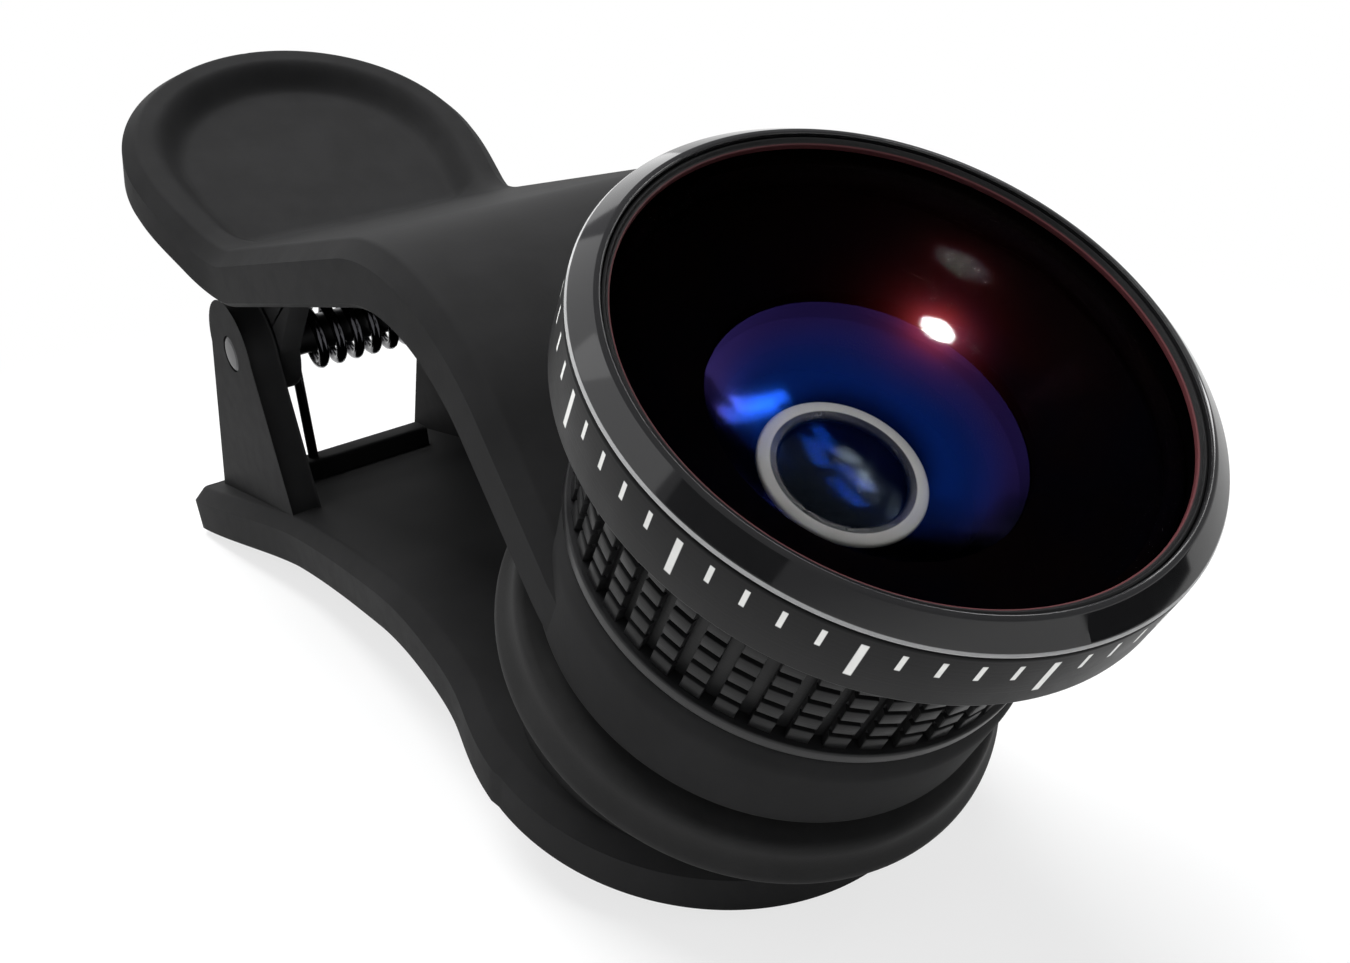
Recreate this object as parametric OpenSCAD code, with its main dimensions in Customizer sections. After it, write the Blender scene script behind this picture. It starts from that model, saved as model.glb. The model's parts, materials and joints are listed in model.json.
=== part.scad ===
// Clip-on fisheye lens for a phone: a sprung two-jaw clip with a screw-in lens.
// Millimetres, +Z up. The clip stands on its lower jaw and the lens end points to +X.
// The clamp seat is where the lens axis meets the face of the lower rubber pad.

/* [Clip stance] */
// Lean of the lens axis from the vertical, in degrees
lens_tilt = 32; // [26:1:38]
// Height of the clamp seat above the floor
seat_h = 11.4; // [10.5:0.1:13]
// Thickness of both jaws
jaw_thick = 3.2; // [2.6:0.1:3.8]

/* [Upper jaw] */
// Half the width of the arched strip
arch_half_w = 10.5; // [9.5:0.1:11.5]
// Half the width of the neck before the thumb pad
neck_half_w = 10.3; // [8:0.1:10.5]
// Extra steepness of the front leg over the plane of the boss, in degrees
leg_lift = 21; // [16:1:26]
// Slope of the ramp from the neck up to the crest, in degrees
ramp_slope = 12; // [9:0.5:17]
// Slope of the thumb pad, in degrees
pad_slope = 28; // [22:1:34]
// Straight run of the strip out of the boss
front_run = 1; // [0.5:0.1:2]
// Length of the steep front leg
leg_len = 7; // [6.5:0.1:9]
// Radius of the crest at mid thickness
crest_bend = 11.4; // [9:0.1:13]
// Length of the straight ramp
ramp_len = 18.4; // [16:0.1:20]
// Radius of the valley at the neck, at mid thickness
neck_bend = 8; // [5:0.5:10]
// Straight run from the neck to the middle of the thumb pad
pad_run = 5.7; // [4:0.1:7]
// Radius of the round thumb pad
thumb_r = 11.5; // [10:0.1:13]
// Radius of the dish in the thumb pad
dish_r = 8.9; // [6:0.1:9.4]
// Depth of the dish
dish_depth = 0.9; // [0.5:0.1:1.4]
// Run of the dish from the pad's middle towards the neck
dish_chord = 6.4; // [3:0.1:7]

/* [Lens boss] */
// Outer radius of the boss
boss_r = 10.7; // [10.6:0.1:11.6]
// Height of the boss wall below its chamfer
boss_wall_h = 3.8; // [3.6:0.1:4.4]
// Height of the chamfer on the boss
boss_chamfer_h = 0.9; // [0.5:0.1:1.2]
// Width of the chamfer on the boss
boss_chamfer_w = 0.4; // [0.2:0.1:0.8]
// Thickness of the lip under the insert
boss_lip = 0.6; // [0.4:0.1:1]
// Radius of the sight hole in the boss lip
sight_r = 7.2; // [6.6:0.1:7.6]
// Radius of the bore that takes the threaded insert
insert_r = 9.2; // [9:0.1:9.8]
// Thread radius of the insert, half of a 17 mm thread
thread_r = 8.5; // [8.4:0.05:8.7]
// Height of the threaded insert
insert_h = 3.8; // [3:0.1:4]
// Thickness of the rubber ring under the boss
upper_pad_h = 0.9; // [0.5:0.1:1.4]
// Outer radius of the rubber ring under the boss
upper_pad_r = 9.9; // [9:0.1:10.4]

/* [Lower jaw] */
// Half the width of the tail's end
tail_half_w = 10.6; // [10:0.1:12]
// Half the width of the waist in front of the ears
waist_half_w = 9.3; // [9:0.1:10.5]
// Half the width where the strip meets the end disc
collar_half_w = 11.4; // [10.5:0.1:12]
// Radius of the end disc
disc_r = 12; // [11:0.1:13]
// Slope of the end disc, in degrees
nose_slope = 17; // [14:0.5:19]
// Slope of the tail, in degrees
tail_slope = 9.5; // [8:0.5:11]
// Distance from the clamp seat to the front of the end disc
nose_reach = 6; // [5:0.1:7]
// Straight length of the end disc's leg
nose_leg = 15.9; // [14:0.1:17]
// Radius of the arch at mid thickness
arch_bend = 26.6; // [22:0.2:32]
// Radius of the sloped pedestal under the rubber pad
pedestal_r = 10.4; // [9:0.1:11]
// Thickness of the lower rubber pad
low_pad_h = 1.9; // [1.4:0.1:2.4]
// Width of the lower pad's soft edge
low_pad_edge = 0.25; // [0.1:0.05:0.4]
// Radius of the lower pad's face
low_pad_face_r = 11.1; // [10:0.1:11.8]
// Radius of the lower pad's skirt
low_pad_skirt_r = 12; // [11.9:0.1:13]

/* [Hinge] */
// Distance from the clamp seat back to the hinge pin
pin_back = 43.3; // [42:0.1:45]
// Height of the hinge pin
pin_h = 15.3; // [14.5:0.1:16.5]
// Radius of the hinge pin
pin_r = 1.2; // [1:0.05:1.4]
// Distance from the middle to the outer face of an ear
ear_out = 8.5; // [8.2:0.1:9.5]
// Thickness of an ear
ear_thick = 1.9; // [1.6:0.1:2.2]
// Radius of an ear's round top
ear_top_r = 3.3; // [2.6:0.1:3.6]
// Reach of an ear's foot behind the pin
ear_foot_back = 8.6; // [6:0.1:9]
// Reach of an ear's foot in front of the pin
ear_foot_front = 6; // [4:0.1:8]
// Thickness of a lug of the upper jaw
lug_thick = 1.5; // [1.2:0.1:1.8]
// Radius of a lug's round end
lug_end_r = 3; // [2.6:0.1:3.4]
// Side gap between an ear and a lug
ear_gap = 0.15; // [0.1:0.05:0.3]
// Height of the spring rest above the tail
rest_h = 1.5; // [1:0.1:2]
// Width of the spring rest along the clip
rest_w = 1.6; // [1.2:0.1:2.2]
// Half the length of the spring rest
rest_half = 4.6; // [4:0.1:5]

/* [Spring] */
// Mean radius of the coil
coil_r = 2.05; // [1.9:0.05:2.3]
// Wire diameter
wire_d = 0.7; // [0.5:0.05:0.75]
// Whole turns of the coil
coil_turns = 6; // [4:1:6]
// Distance from one turn to the next
coil_pitch = 1.25; // [1.2:0.05:1.3]

/* [Lens barrel] */
// Outer radius of the front bezel
bezel_r = 12.5; // [12.2:0.1:13.4]
// Lap of the front retaining ring over the glass
glass_lap = 0.32; // [0.25:0.01:0.5]
// Height of the glass edge above the clamp seat
glass_h = 17.5; // [17.2:0.1:19]
// Height of the front rim above the glass edge
rim_h = 0.15; // [0.1:0.05:0.4]
// Width of the bezel's outer chamfer
bezel_chamfer_w = 0.7; // [0.3:0.05:0.7]
// Height of the bezel's outer chamfer
bezel_chamfer_h = 0.75; // [0.4:0.05:0.9]
// Height of the bezel's straight wall
bezel_wall_h = 0.1; // [0.1:0.05:0.3]
// Height of the plain band below the bezel
band_h = 2.95; // [2.5:0.05:3.2]
// Wall of the band
band_wall = 0.55; // [0.4:0.05:0.6]
// Wall of the cup that carries the front glass
cup_wall = 0.55; // [0.4:0.05:0.6]
// Thickness of the cup's floor
cup_floor = 0.4; // [0.3:0.05:0.5]
// Outer radius of the grip ring
grip_r = 10.2; // [10:0.1:10.5]
// Wall of the grip ring under its columns
grip_wall = 0.35; // [0.3:0.05:0.5]
// Height of a column over the grip ring's wall
grip_relief = 0.45; // [0.2:0.05:0.5]
// Columns round the grip ring
grip_columns = 34; // [24:1:40]
// Share of each step that the column fills
grip_fill = 0.62; // [0.45:0.01:0.75]
// Slots across each column
grip_slots = 3; // [2:1:4]
// Height of each slot
grip_slot_h = 0.55; // [0.3:0.05:0.8]
// Radius of the thin lip under the grip ring
lip_r = 10.45; // [10.3:0.05:10.6]
// Height of the thin lip
lip_h = 0.6; // [0.4:0.1:0.8]
// Inner radius of the barrel above its shoulder
barrel_bore = 8.85; // [8.75:0.05:8.95]
// Wall of the threaded rear sleeve
sleeve_wall = 1.25; // [1:0.05:1.3]
// Thickness of the shoulder that rests on the sleeve
shoulder_h = 0.8; // [0.6:0.1:1]

/* [Glass] */
// Fall of the front retaining ring's face towards the glass
ring_lead = 0.2; // [0.1:0.05:0.3]
// Curve radius of the front glass outside
front_curve = 26; // [22:0.5:32]
// Curve radius of the front glass inside
front_back_curve = 30; // [26:0.5:36]
// Depth of the front glass's rim below its visible edge
glass_sink = 0.4; // [0.3:0.05:0.5]
// Edge thickness of the front glass
front_edge = 0.9; // [0.7:0.1:1.1]
// Tube diameter of the seal under the front glass
seal_d = 0.8; // [0.6:0.05:0.9]
// Mouth radius of the deep second glass
bowl_r = 6.6; // [6:0.1:6.8]
// Depth from the glass edge to the mouth of the second glass
bowl_depth = 4; // [3.8:0.1:4.3]
// Height of the cone's lip over the second glass
cone_lip = 0.5; // [0.3:0.05:0.6]
// Height of the cell under the second glass
cell_h = 3.1; // [2.9:0.05:3.3]
// Width of the ledge under the second glass
cell_ledge = 1; // [0.8:0.1:1.2]
// Curve radius of the second glass
bowl_curve = 13; // [12:0.5:15]
// Thickness of the second glass
bowl_thick = 0.9; // [0.7:0.05:1]
// Outer radius of the pale ring deep in the lens
pale_r = 3.6; // [3.3:0.1:4]
// Radius of the small inner glasses
small_r = 2.9; // [2.6:0.1:3]
// Height of the pale ring
pale_h = 0.35; // [0.2:0.05:0.4]
// Thickness of the inner cell's plate
cell_plate = 0.6; // [0.4:0.1:0.7]
// Gap between the inner cell's tube and the rear glass
tube_clear = 0.3; // [0.2:0.05:0.6]
// Wall of the inner cell's tube
cell_wall = 0.9; // [0.7:0.1:1]
// Width of the foot inside the inner cell's tube
cell_foot_w = 0.6; // [0.4:0.1:0.8]
// Height of the foot inside the inner cell's tube
cell_foot_h = 0.4; // [0.3:0.05:0.5]
// Lap of the pale ring over the glass under it
pale_lap = 0.2; // [0.1:0.05:0.3]
// Curve radius of the fourth glass
fourth_curve = 23; // [18:0.5:28]
// Curve radius of the third glass
third_curve = 14.5; // [11:0.5:20]
// Width of the spacer
spacer_w = 0.5; // [0.3:0.05:0.7]
// Height of the spacer
spacer_h = 0.8; // [0.6:0.05:1]
// Thickness of the aperture stop
stop_h = 0.2; // [0.15:0.05:0.3]
// Radius of the aperture
stop_r = 1.2; // [0.8:0.1:1.8]
// Height of the rear glass above the rear end of the sleeve
rear_depth = 2.7; // [2.5:0.1:3]
// Width of the ledge that holds the rear glass
rear_ledge = 0.8; // [0.6:0.1:1]
// Edge thickness of the rear glass
rear_edge = 1.5; // [1:0.1:1.7]
// Curve radius of the rear glass
rear_curve = 24; // [18:1:40]

/* [Clearances] */
// Slip fit per side between nested pieces that don't move
slip = 0.04; // [0.02:0.01:0.06]
// Running clearance per side of the hinge pin and of the thread
running = 0.05; // [0.02:0.01:0.08]
// Gap between the closed pads
pad_gap = 0.1; // [0.05:0.05:0.3]

/* [Hidden] */
$fn = 96;
bend_steps = 14;
ring_angle = 45;
near_rings = 5;
over = 1;
half_t = jaw_thick / 2;

// A strip is traced along its middle line as stations of [point, heading], from legs and bends.
function toward(angle) = [cos(angle), sin(angle)];
function left_of(angle) = [-sin(angle), cos(angle)];
function bend_station(p, a, turn, r, share) =
    let (s = sign(turn), c = p + s * r * left_of(a), b = a + turn * share) [c - s * r * left_of(b), b];
function leg(p, a, length) = [[p, a], [p + length * toward(a), a]];
function bend(p, a, turn, r) = [for (i = [1:bend_steps]) bend_station(p, a, turn, r, i / bend_steps)];
function last(list) = list[len(list) - 1];
function side(stations, d) = [for (s = stations) s[0] + d * left_of(s[1])];
function reversed(list) = [for (i = [len(list) - 1:-1:0]) list[i]];
function strip_outline(stations) = concat(side(stations, half_t), reversed(side(stations, -half_t)));

// Heights along the lens axis, from the clamp seat
boss_base = pad_gap + upper_pad_h;
boss_shoulder = boss_base + boss_wall_h;
boss_top = boss_shoulder + boss_chamfer_h;
insert_base = boss_base + boss_lip;
lip_base = boss_top + pad_gap;
grip_base = lip_base + lip_h;
bezel_base = glass_h + rim_h - bezel_chamfer_h - bezel_wall_h;
band_base = bezel_base - band_h;
grip_top = band_base;
cup_floor_top = band_base + cup_floor;
rim_top = glass_h + rim_h;
sleeve_base = insert_base + pad_gap;
sleeve_r = thread_r - running;
sleeve_bore = sleeve_r - sleeve_wall;
rear_glass_top = sleeve_base + rear_depth;
grip_bore = grip_r - grip_relief - grip_wall;
barrel_r = grip_bore - slip;
cup_r = bezel_r - band_wall - slip;
cup_bore = cup_r - cup_wall;
glass_top = glass_h - glass_sink;
glass_base = glass_top - front_edge;
seal_base = glass_base - seal_d;
glass_edge_r = cup_bore - slip;
glass_r = glass_edge_r - glass_lap;
seal_in_r = glass_edge_r - seal_d;
bowl_mouth = glass_h - bowl_depth;
bowl_top = bowl_mouth - cone_lip;
cell_top = bowl_top - cell_h;
shoulder_top = cell_top - cell_plate;
sleeve_top = shoulder_top - shoulder_h;
tube_base = rear_glass_top + tube_clear;

// The upper jaw is traced back from the boss, and the lower jaw back from its front edge
seat = [0, seat_h];
axis_dir = [sin(lens_tilt), cos(lens_tilt)];
strip_seat = seat + (boss_base + half_t) * axis_dir;
leg_heading = 180 - lens_tilt;
front_leg = leg(strip_seat, leg_heading, front_run);
front_bend = bend(last(front_leg)[0], leg_heading, -leg_lift, neck_bend);
steep_leg = leg(last(front_bend)[0], last(front_bend)[1], leg_len);
crest_turn = 180 + ramp_slope - last(steep_leg)[1];
crest = bend(last(steep_leg)[0], last(steep_leg)[1], crest_turn, crest_bend);
ramp = leg(last(crest)[0], last(crest)[1], ramp_len);
valley = bend(last(ramp)[0], last(ramp)[1], -(ramp_slope + pad_slope), neck_bend);
pad_leg = leg(last(valley)[0], last(valley)[1], pad_run);
thumb_mid = last(pad_leg)[0];
upper_stations = concat(front_leg, front_bend, [steep_leg[1]], crest, [ramp[1]], valley, [pad_leg[1]]);

nose_front = [nose_reach, 0] + half_t * [sin(nose_slope), cos(nose_slope)];
nose = leg(nose_front, 180 - nose_slope, nose_leg);
arch = bend(last(nose)[0], last(nose)[1], nose_slope + tail_slope, arch_bend);
tail_len = (last(arch)[0][1] - half_t * cos(tail_slope)) / sin(tail_slope);
tail = leg(last(arch)[0], last(arch)[1], tail_len);
disc_mid = nose_front + disc_r * toward(180 - nose_slope);
nose_ahead = [nose_front - over * toward(180 - nose_slope), 180 - nose_slope];
lower_stations = concat([nose_ahead, nose[1]], arch, [tail[1]]);
tail_end = last(tail)[0];

pin = [-pin_back, pin_h];
lug_out = ear_out - ear_thick - ear_gap;
rest_x = pin[0] - coil_r;
rest_top = tail_end[1] + (rest_x - tail_end[0]) * tan(tail_slope) + half_t / cos(tail_slope) + rest_h;

// The origin is under the middle of the whole clip
back_x = thumb_mid[0] - thumb_r * cos(pad_slope) - half_t * sin(pad_slope);
front_x = bezel_r * cos(lens_tilt) + (rim_top - bezel_chamfer_h) * sin(lens_tilt);
mid_x = (back_x + front_x) / 2;

module in_frame() {
    translate([-mid_x, 0, 0]) children();
}

// Lens pieces are drawn about Z from the clamp seat, then leaned with the lens axis
module on_axis() {
    in_frame() translate([seat[0], 0, seat[1]]) rotate([0, lens_tilt, 0]) children();
}

// Side outlines are drawn in X and Z, then given a width across the clip
module across(from, to) {
    translate([0, to, 0]) rotate([90, 0, 0]) linear_extrude(to - from) children();
}

module both_sides() {
    children();
    mirror([0, 1, 0]) children();
}

module ring(inner, outer, low, high) {
    difference() {
        translate([0, 0, low]) cylinder(r = outer, h = high - low);
        translate([0, 0, low - over]) cylinder(r = inner, h = high - low + 2 * over);
    }
}

module turned(points) {
    rotate_extrude() polygon(points);
}

module disc_at(point, slope, r, low, high) {
    translate([point[0], 0, point[1]]) rotate([0, slope, 0]) translate([0, 0, low]) cylinder(r = r, h = high - low);
}

module plate_with_round_end(r, foot) {
    polygon(concat([pin + [r, 0]], foot, [pin - [r, 0]]));
    translate(pin) circle(r = r);
}

// A glass with a curved front and back, between two heights at its edge
module lens_glass(r, low, high, front, back) {
    intersection() {
        translate([0, 0, low - r]) cylinder(r = r, h = high - low + 2 * r);
        translate([0, 0, high - sqrt(front * front - r * r)]) sphere(r = front);
        translate([0, 0, low + sqrt(back * back - r * r)]) sphere(r = back);
    }
}

// A glass with a flat front and a curved back
module flat_glass(r, low, high, back) {
    intersection() {
        translate([0, 0, low - r]) cylinder(r = r, h = high - low + r);
        translate([0, 0, low + sqrt(back * back - r * r)]) sphere(r = back);
    }
}

module lower_jaw() {
    color([0.1, 0.1, 0.11]) in_frame() difference() {
        union() {
            intersection() {
                across(-disc_r - over, disc_r + over) polygon(strip_outline(lower_stations));
                union() {
                    linear_extrude(2 * seat_h) lower_plan();
                    disc_at(disc_mid, nose_slope, disc_r, -seat_h, seat_h);
                }
            }
            pedestal();
            both_sides() across(ear_out - ear_thick, ear_out) ear_outline();
            spring_rest();
        }
        across(-ear_out - over, ear_out + over) translate(pin) circle(r = pin_r);
    }
}

module lower_plan() {
    waist_x = pin[0] + ear_foot_front;
    right = [[tail_end[0] - jaw_thick, -tail_half_w], [waist_x, -waist_half_w], [disc_mid[0], -collar_half_w]];
    polygon(concat(right, [for (p = reversed(right)) [p[0], -p[1]]]));
}

module pedestal() {
    difference() {
        translate([seat[0], 0, seat[1]]) rotate([0, lens_tilt, 0])
            translate([0, 0, -low_pad_h - seat_h]) cylinder(r = pedestal_r, h = seat_h);
        translate([disc_mid[0], 0, disc_mid[1]]) rotate([0, nose_slope, 0])
            translate([0, 0, -2 * disc_r]) cube(4 * disc_r, center = true);
    }
}

module ear_outline() {
    foot_back = pin[0] - ear_foot_back;
    foot_front = pin[0] + ear_foot_front;
    back_z = tail_end[1] + (foot_back - tail_end[0]) * tan(tail_slope);
    front_z = tail_end[1] + (foot_front - tail_end[0]) * tan(tail_slope);
    plate_with_round_end(ear_top_r, [[foot_front, front_z], [foot_back, back_z]]);
}

module spring_rest() {
    foot_z = tail_end[1] + (rest_x - tail_end[0]) * tan(tail_slope);
    translate([rest_x - rest_w / 2, -rest_half, foot_z]) cube([rest_w, 2 * rest_half, rest_top - foot_z]);
}

module jaw_pad() {
    edge = low_pad_edge;
    color([0.13, 0.13, 0.13]) on_axis() turned([[0, -low_pad_h], [low_pad_skirt_r, -low_pad_h],
        [low_pad_skirt_r, edge - low_pad_h], [low_pad_face_r + edge, -edge], [low_pad_face_r, 0], [0, 0]]);
}

module hinge_pin() {
    color([0.55, 0.55, 0.55]) in_frame() across(-ear_out, ear_out) translate(pin) circle(r = pin_r);
}

module upper_jaw() {
    color([0.1, 0.1, 0.11]) difference() {
        union() {
            in_frame() intersection() {
                across(-boss_r, boss_r) polygon(strip_outline(upper_stations));
                linear_extrude(4 * seat_h) upper_plan();
            }
            in_frame() disc_at(thumb_mid, pad_slope, thumb_r, -half_t, half_t);
            in_frame() both_sides() across(lug_out - lug_thick, lug_out) lug_outline();
            on_axis() boss_body();
        }
        on_axis() boss_bores();
        in_frame() thumb_dish();
        in_frame() across(-ear_out, ear_out) translate(pin) circle(r = pin_r + running);
    }
}

module upper_plan() {
    ramp_end = last(ramp)[0][0];
    neck_x = last(valley)[0][0];
    polygon([[strip_seat[0], -arch_half_w], [ramp_end, -arch_half_w], [neck_x, -neck_half_w],
        [thumb_mid[0], -neck_half_w], [thumb_mid[0], neck_half_w], [neck_x, neck_half_w],
        [ramp_end, arch_half_w], [strip_seat[0], arch_half_w]]);
}

module thumb_dish() {
    translate([thumb_mid[0], 0, thumb_mid[1]]) rotate([0, pad_slope, 0])
        translate([0, 0, half_t - dish_depth]) intersection() {
            cylinder(r = dish_r, h = jaw_thick);
            translate([-2 * dish_r + dish_chord, -dish_r, 0]) cube(2 * dish_r);
        }
}

module lug_outline() {
    plate_with_round_end(lug_end_r, [last(ramp)[0], thumb_mid]);
}

module boss_body() {
    turned([[0, boss_base], [boss_r, boss_base], [boss_r, boss_shoulder],
        [boss_r - boss_chamfer_w, boss_top], [0, boss_top]]);
}

module boss_bores() {
    translate([0, 0, boss_base - over]) cylinder(r = sight_r, h = boss_wall_h);
    translate([0, 0, insert_base]) cylinder(r = insert_r, h = boss_wall_h + boss_chamfer_h);
    translate([0, 0, boss_top]) cylinder(r = boss_r + running, h = glass_h);
}

module thread_insert() {
    color([0.72, 0.6, 0.35]) on_axis() ring(thread_r, insert_r, insert_base, insert_base + insert_h);
}

module upper_pad() {
    color([0.06, 0.06, 0.06]) on_axis() ring(sight_r, upper_pad_r, pad_gap, boss_base);
}

// The coil runs from the leg on the spring rest to the leg under the thumb pad
rest_leg_end = rest_top + slip;
leave_angle = 180 - pad_slope;
coil_sweep = 360 * coil_turns + pad_slope;
coil_len = coil_pitch * coil_sweep / 360;
curl_steps = ceil(coil_sweep / ring_angle);
coil_start = -coil_len / 2;
leave_point = pin + coil_r * toward(leave_angle);
pad_normal = [sin(pad_slope), cos(pad_slope)];
pad_leg_len = (thumb_mid - leave_point) * pad_normal - half_t - slip;
function coil_point(i) =
    let (share = i / curl_steps, angle = 180 - coil_sweep * share, p = pin + coil_r * toward(angle))
    [p[0], coil_start + coil_len * share, p[1]];
function coil_heading(i) = let (angle = 180 - coil_sweep * i / curl_steps) [sin(angle), 0, -cos(angle)];
pad_leg_end = leave_point + pad_leg_len * pad_normal;
spring_points = concat([[rest_x, coil_start, rest_leg_end], [rest_x, coil_start, rest_leg_end + wire_d]],
    [for (i = [0:curl_steps]) coil_point(i)],
    [for (back = [wire_d, 0]) let (p = pad_leg_end - back * pad_normal) [p[0], coil_start + coil_len, p[1]]]);
spring_headings = concat([[0, 0, 1], [0, 0, 1]], [for (i = [0:curl_steps]) coil_heading(i)],
    [for (i = [0:1]) [pad_normal[0], 0, pad_normal[1]]]);
tube_sides = 6;
function tube_ring(p, heading) =
    let (u = [0, 1, 0], v = cross(heading, u))
    [for (k = [0:tube_sides - 1]) p + wire_d / 2 * (cos(360 * k / tube_sides) * u + sin(360 * k / tube_sides) * v)];
spring_rings = [for (i = [0:len(spring_points) - 1]) tube_ring(spring_points[i], spring_headings[i])];
coil_end = curl_steps + 2;
spring_gap = min([for (i = [2:coil_end - near_rings]) for (j = [i + near_rings:coil_end])
    norm(spring_points[i] - spring_points[j])]) - wire_d;
echo(spring_least_gap_mm = spring_gap);

module torsion_spring() {
    rings = len(spring_rings);
    corner = [for (r = spring_rings) for (p = r) p];
    walls = [for (i = [0:rings - 2]) for (k = [0:tube_sides - 1])
        let (a = i * tube_sides + k, b = i * tube_sides + (k + 1) % tube_sides)
        each [[a, a + tube_sides, b], [b, a + tube_sides, b + tube_sides]]];
    top = (rings - 1) * tube_sides;
    caps = [for (k = [1:tube_sides - 2]) each [[0, k, k + 1], [top, top + k + 1, top + k]]];
    color([0.2, 0.2, 0.21]) in_frame() polyhedron(corner, concat(walls, caps));
}

module rear_sleeve() {
    color([0.12, 0.12, 0.12]) on_axis() union() {
        ring(sleeve_bore, sleeve_r, sleeve_base, sleeve_top);
        ring(sleeve_bore - rear_ledge, sleeve_bore + slip, rear_glass_top, rear_glass_top + rear_ledge);
    }
}

module rear_element() {
    color([0.5, 0.6, 0.7, 0.4]) on_axis()
        flat_glass(sleeve_bore - slip, rear_glass_top - rear_edge, rear_glass_top, rear_curve);
}

module rear_retaining_ring() {
    high = rear_glass_top - rear_edge - 2 * slip;
    color([0.08, 0.08, 0.08]) on_axis() turned([[sleeve_bore - rear_ledge, sleeve_base],
        [sleeve_bore - slip, sleeve_base], [sleeve_bore - slip, high], [sleeve_bore - rear_ledge / 3, high]]);
}

module lens_barrel() {
    color([0.08, 0.08, 0.08]) on_axis() difference() {
        turned([[0, lip_base], [lip_r, lip_base], [lip_r, grip_base], [barrel_r, grip_base], [barrel_r, grip_top],
            [cup_r, grip_top], [cup_r, bezel_base], [0, bezel_base]]);
        translate([0, 0, cup_floor_top]) cylinder(r = cup_bore, h = glass_h);
        translate([0, 0, shoulder_top]) cylinder(r = barrel_bore, h = glass_h);
        translate([0, 0, lip_base - over]) cylinder(r = sleeve_r + running, h = sleeve_top - lip_base + over);
        translate([0, 0, lip_base]) cylinder(r = sleeve_bore, h = glass_h);
    }
}

module grip_ring() {
    channel = 360 / grip_columns * (1 - grip_fill);
    wall_r = grip_bore + grip_wall;
    slot_step = (grip_top - grip_base) / (grip_slots + 1);
    color([0.09, 0.09, 0.09]) on_axis() difference() {
        ring(grip_bore, grip_r, grip_base, grip_top);
        for (i = [0:grip_columns - 1]) rotate(360 * i / grip_columns)
            translate([0, 0, grip_base - over]) linear_extrude(grip_top - grip_base + 2 * over)
                channel_outline(wall_r, channel);
        for (k = [1:grip_slots]) translate([0, 0, grip_base + k * slot_step])
            ring(wall_r + grip_relief / 3, grip_r + over, -grip_slot_h / 2, grip_slot_h / 2);
    }
}

module channel_outline(inner, angle) {
    outer = grip_r + over;
    polygon([inner * toward(-angle / 2), outer * toward(-angle / 2), outer * toward(angle / 2),
        inner * toward(angle / 2)]);
}

module front_band() {
    color([0.2, 0.2, 0.2]) on_axis() ring(bezel_r - band_wall, bezel_r, band_base, bezel_base - slip);
}

module front_bezel() {
    face_r = bezel_r - bezel_chamfer_w;
    color([0.1, 0.1, 0.1]) on_axis() turned([[cup_bore, bezel_base], [bezel_r, bezel_base],
        [bezel_r, rim_top - bezel_chamfer_h], [face_r, rim_top], [cup_bore, rim_top]]);
}

module front_retaining_ring() {
    color([0.05, 0.05, 0.05]) on_axis() turned([[glass_r, glass_top], [glass_edge_r, glass_top],
        [glass_edge_r, glass_h], [glass_r, glass_h - ring_lead]]);
}

module front_element() {
    color([0.3, 0.3, 0.4, 0.3]) on_axis() difference() {
        intersection() {
            translate([0, 0, glass_base]) cylinder(r = glass_edge_r, h = glass_edge_r);
            translate([0, 0, glass_top - sqrt(front_curve * front_curve - glass_r * glass_r)]) sphere(r = front_curve);
        }
        translate([0, 0, glass_base - sqrt(front_back_curve * front_back_curve - seal_in_r * seal_in_r)])
            sphere(r = front_back_curve);
    }
}

module front_seal() {
    color([0.03, 0.03, 0.03]) on_axis() rotate_extrude()
        translate([glass_edge_r - seal_d / 2, seal_base + seal_d / 2]) circle(d = seal_d, $fn = 24);
}

module inner_cone() {
    color([0.02, 0.02, 0.02]) on_axis() turned([[glass_edge_r, cup_floor_top], [glass_edge_r, seal_base],
        [seal_in_r, seal_base], [bowl_r, bowl_mouth], [bowl_r, bowl_top], [bowl_r + cone_lip, bowl_top],
        [barrel_bore - slip, cup_floor_top]]);
}

module element_cell() {
    color([0.05, 0.05, 0.05]) on_axis() difference() {
        ring(bowl_r - cell_ledge, barrel_bore - slip, cell_top, bowl_top);
        bowl_solid(bowl_thick);
        translate([0, 0, bowl_mouth - bowl_thick]) cylinder(r = bowl_r + slip, h = glass_h);
    }
}

// The deep second glass is a bowl: a spherical cap hollowed by a smaller one
bowl_centre = bowl_top + sqrt(bowl_curve * bowl_curve - bowl_r * bowl_r);
module bowl_solid(thick) {
    translate([0, 0, bowl_centre]) sphere(r = bowl_curve + thick);
}

module second_element() {
    color([0.2, 0.2, 0.6, 0.4]) on_axis() difference() {
        intersection() {
            translate([0, 0, cell_top]) cylinder(r = bowl_r - slip, h = bowl_top - cell_top);
            bowl_solid(bowl_thick - slip);
        }
        bowl_solid(0);
    }
}

module inner_cell() {
    tube_r = small_r + cell_wall;
    color([0.04, 0.04, 0.04]) on_axis() union() {
        ring(small_r, barrel_bore - slip, shoulder_top, cell_top);
        ring(small_r, tube_r, tube_base, cell_top);
        ring(small_r - cell_foot_w, small_r + cell_wall / 2, tube_base, tube_base + cell_foot_h);
    }
}

module pale_ring() {
    color([0.85, 0.83, 0.75]) on_axis() ring(small_r - pale_lap, pale_r, cell_top + slip, cell_top + pale_h);
}

// The small stack stands on the ledge of the inner cell: glass, stop, spacer, glass under the pale ring
stack_base = tube_base + cell_foot_h + 2 * slip;
small_edge = (cell_top - stack_base - stop_h - spacer_h - 3 * slip) / 2;
stop_base = stack_base + small_edge;
spacer_base = stop_base + stop_h;
third_base = cell_top - small_edge;

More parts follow.
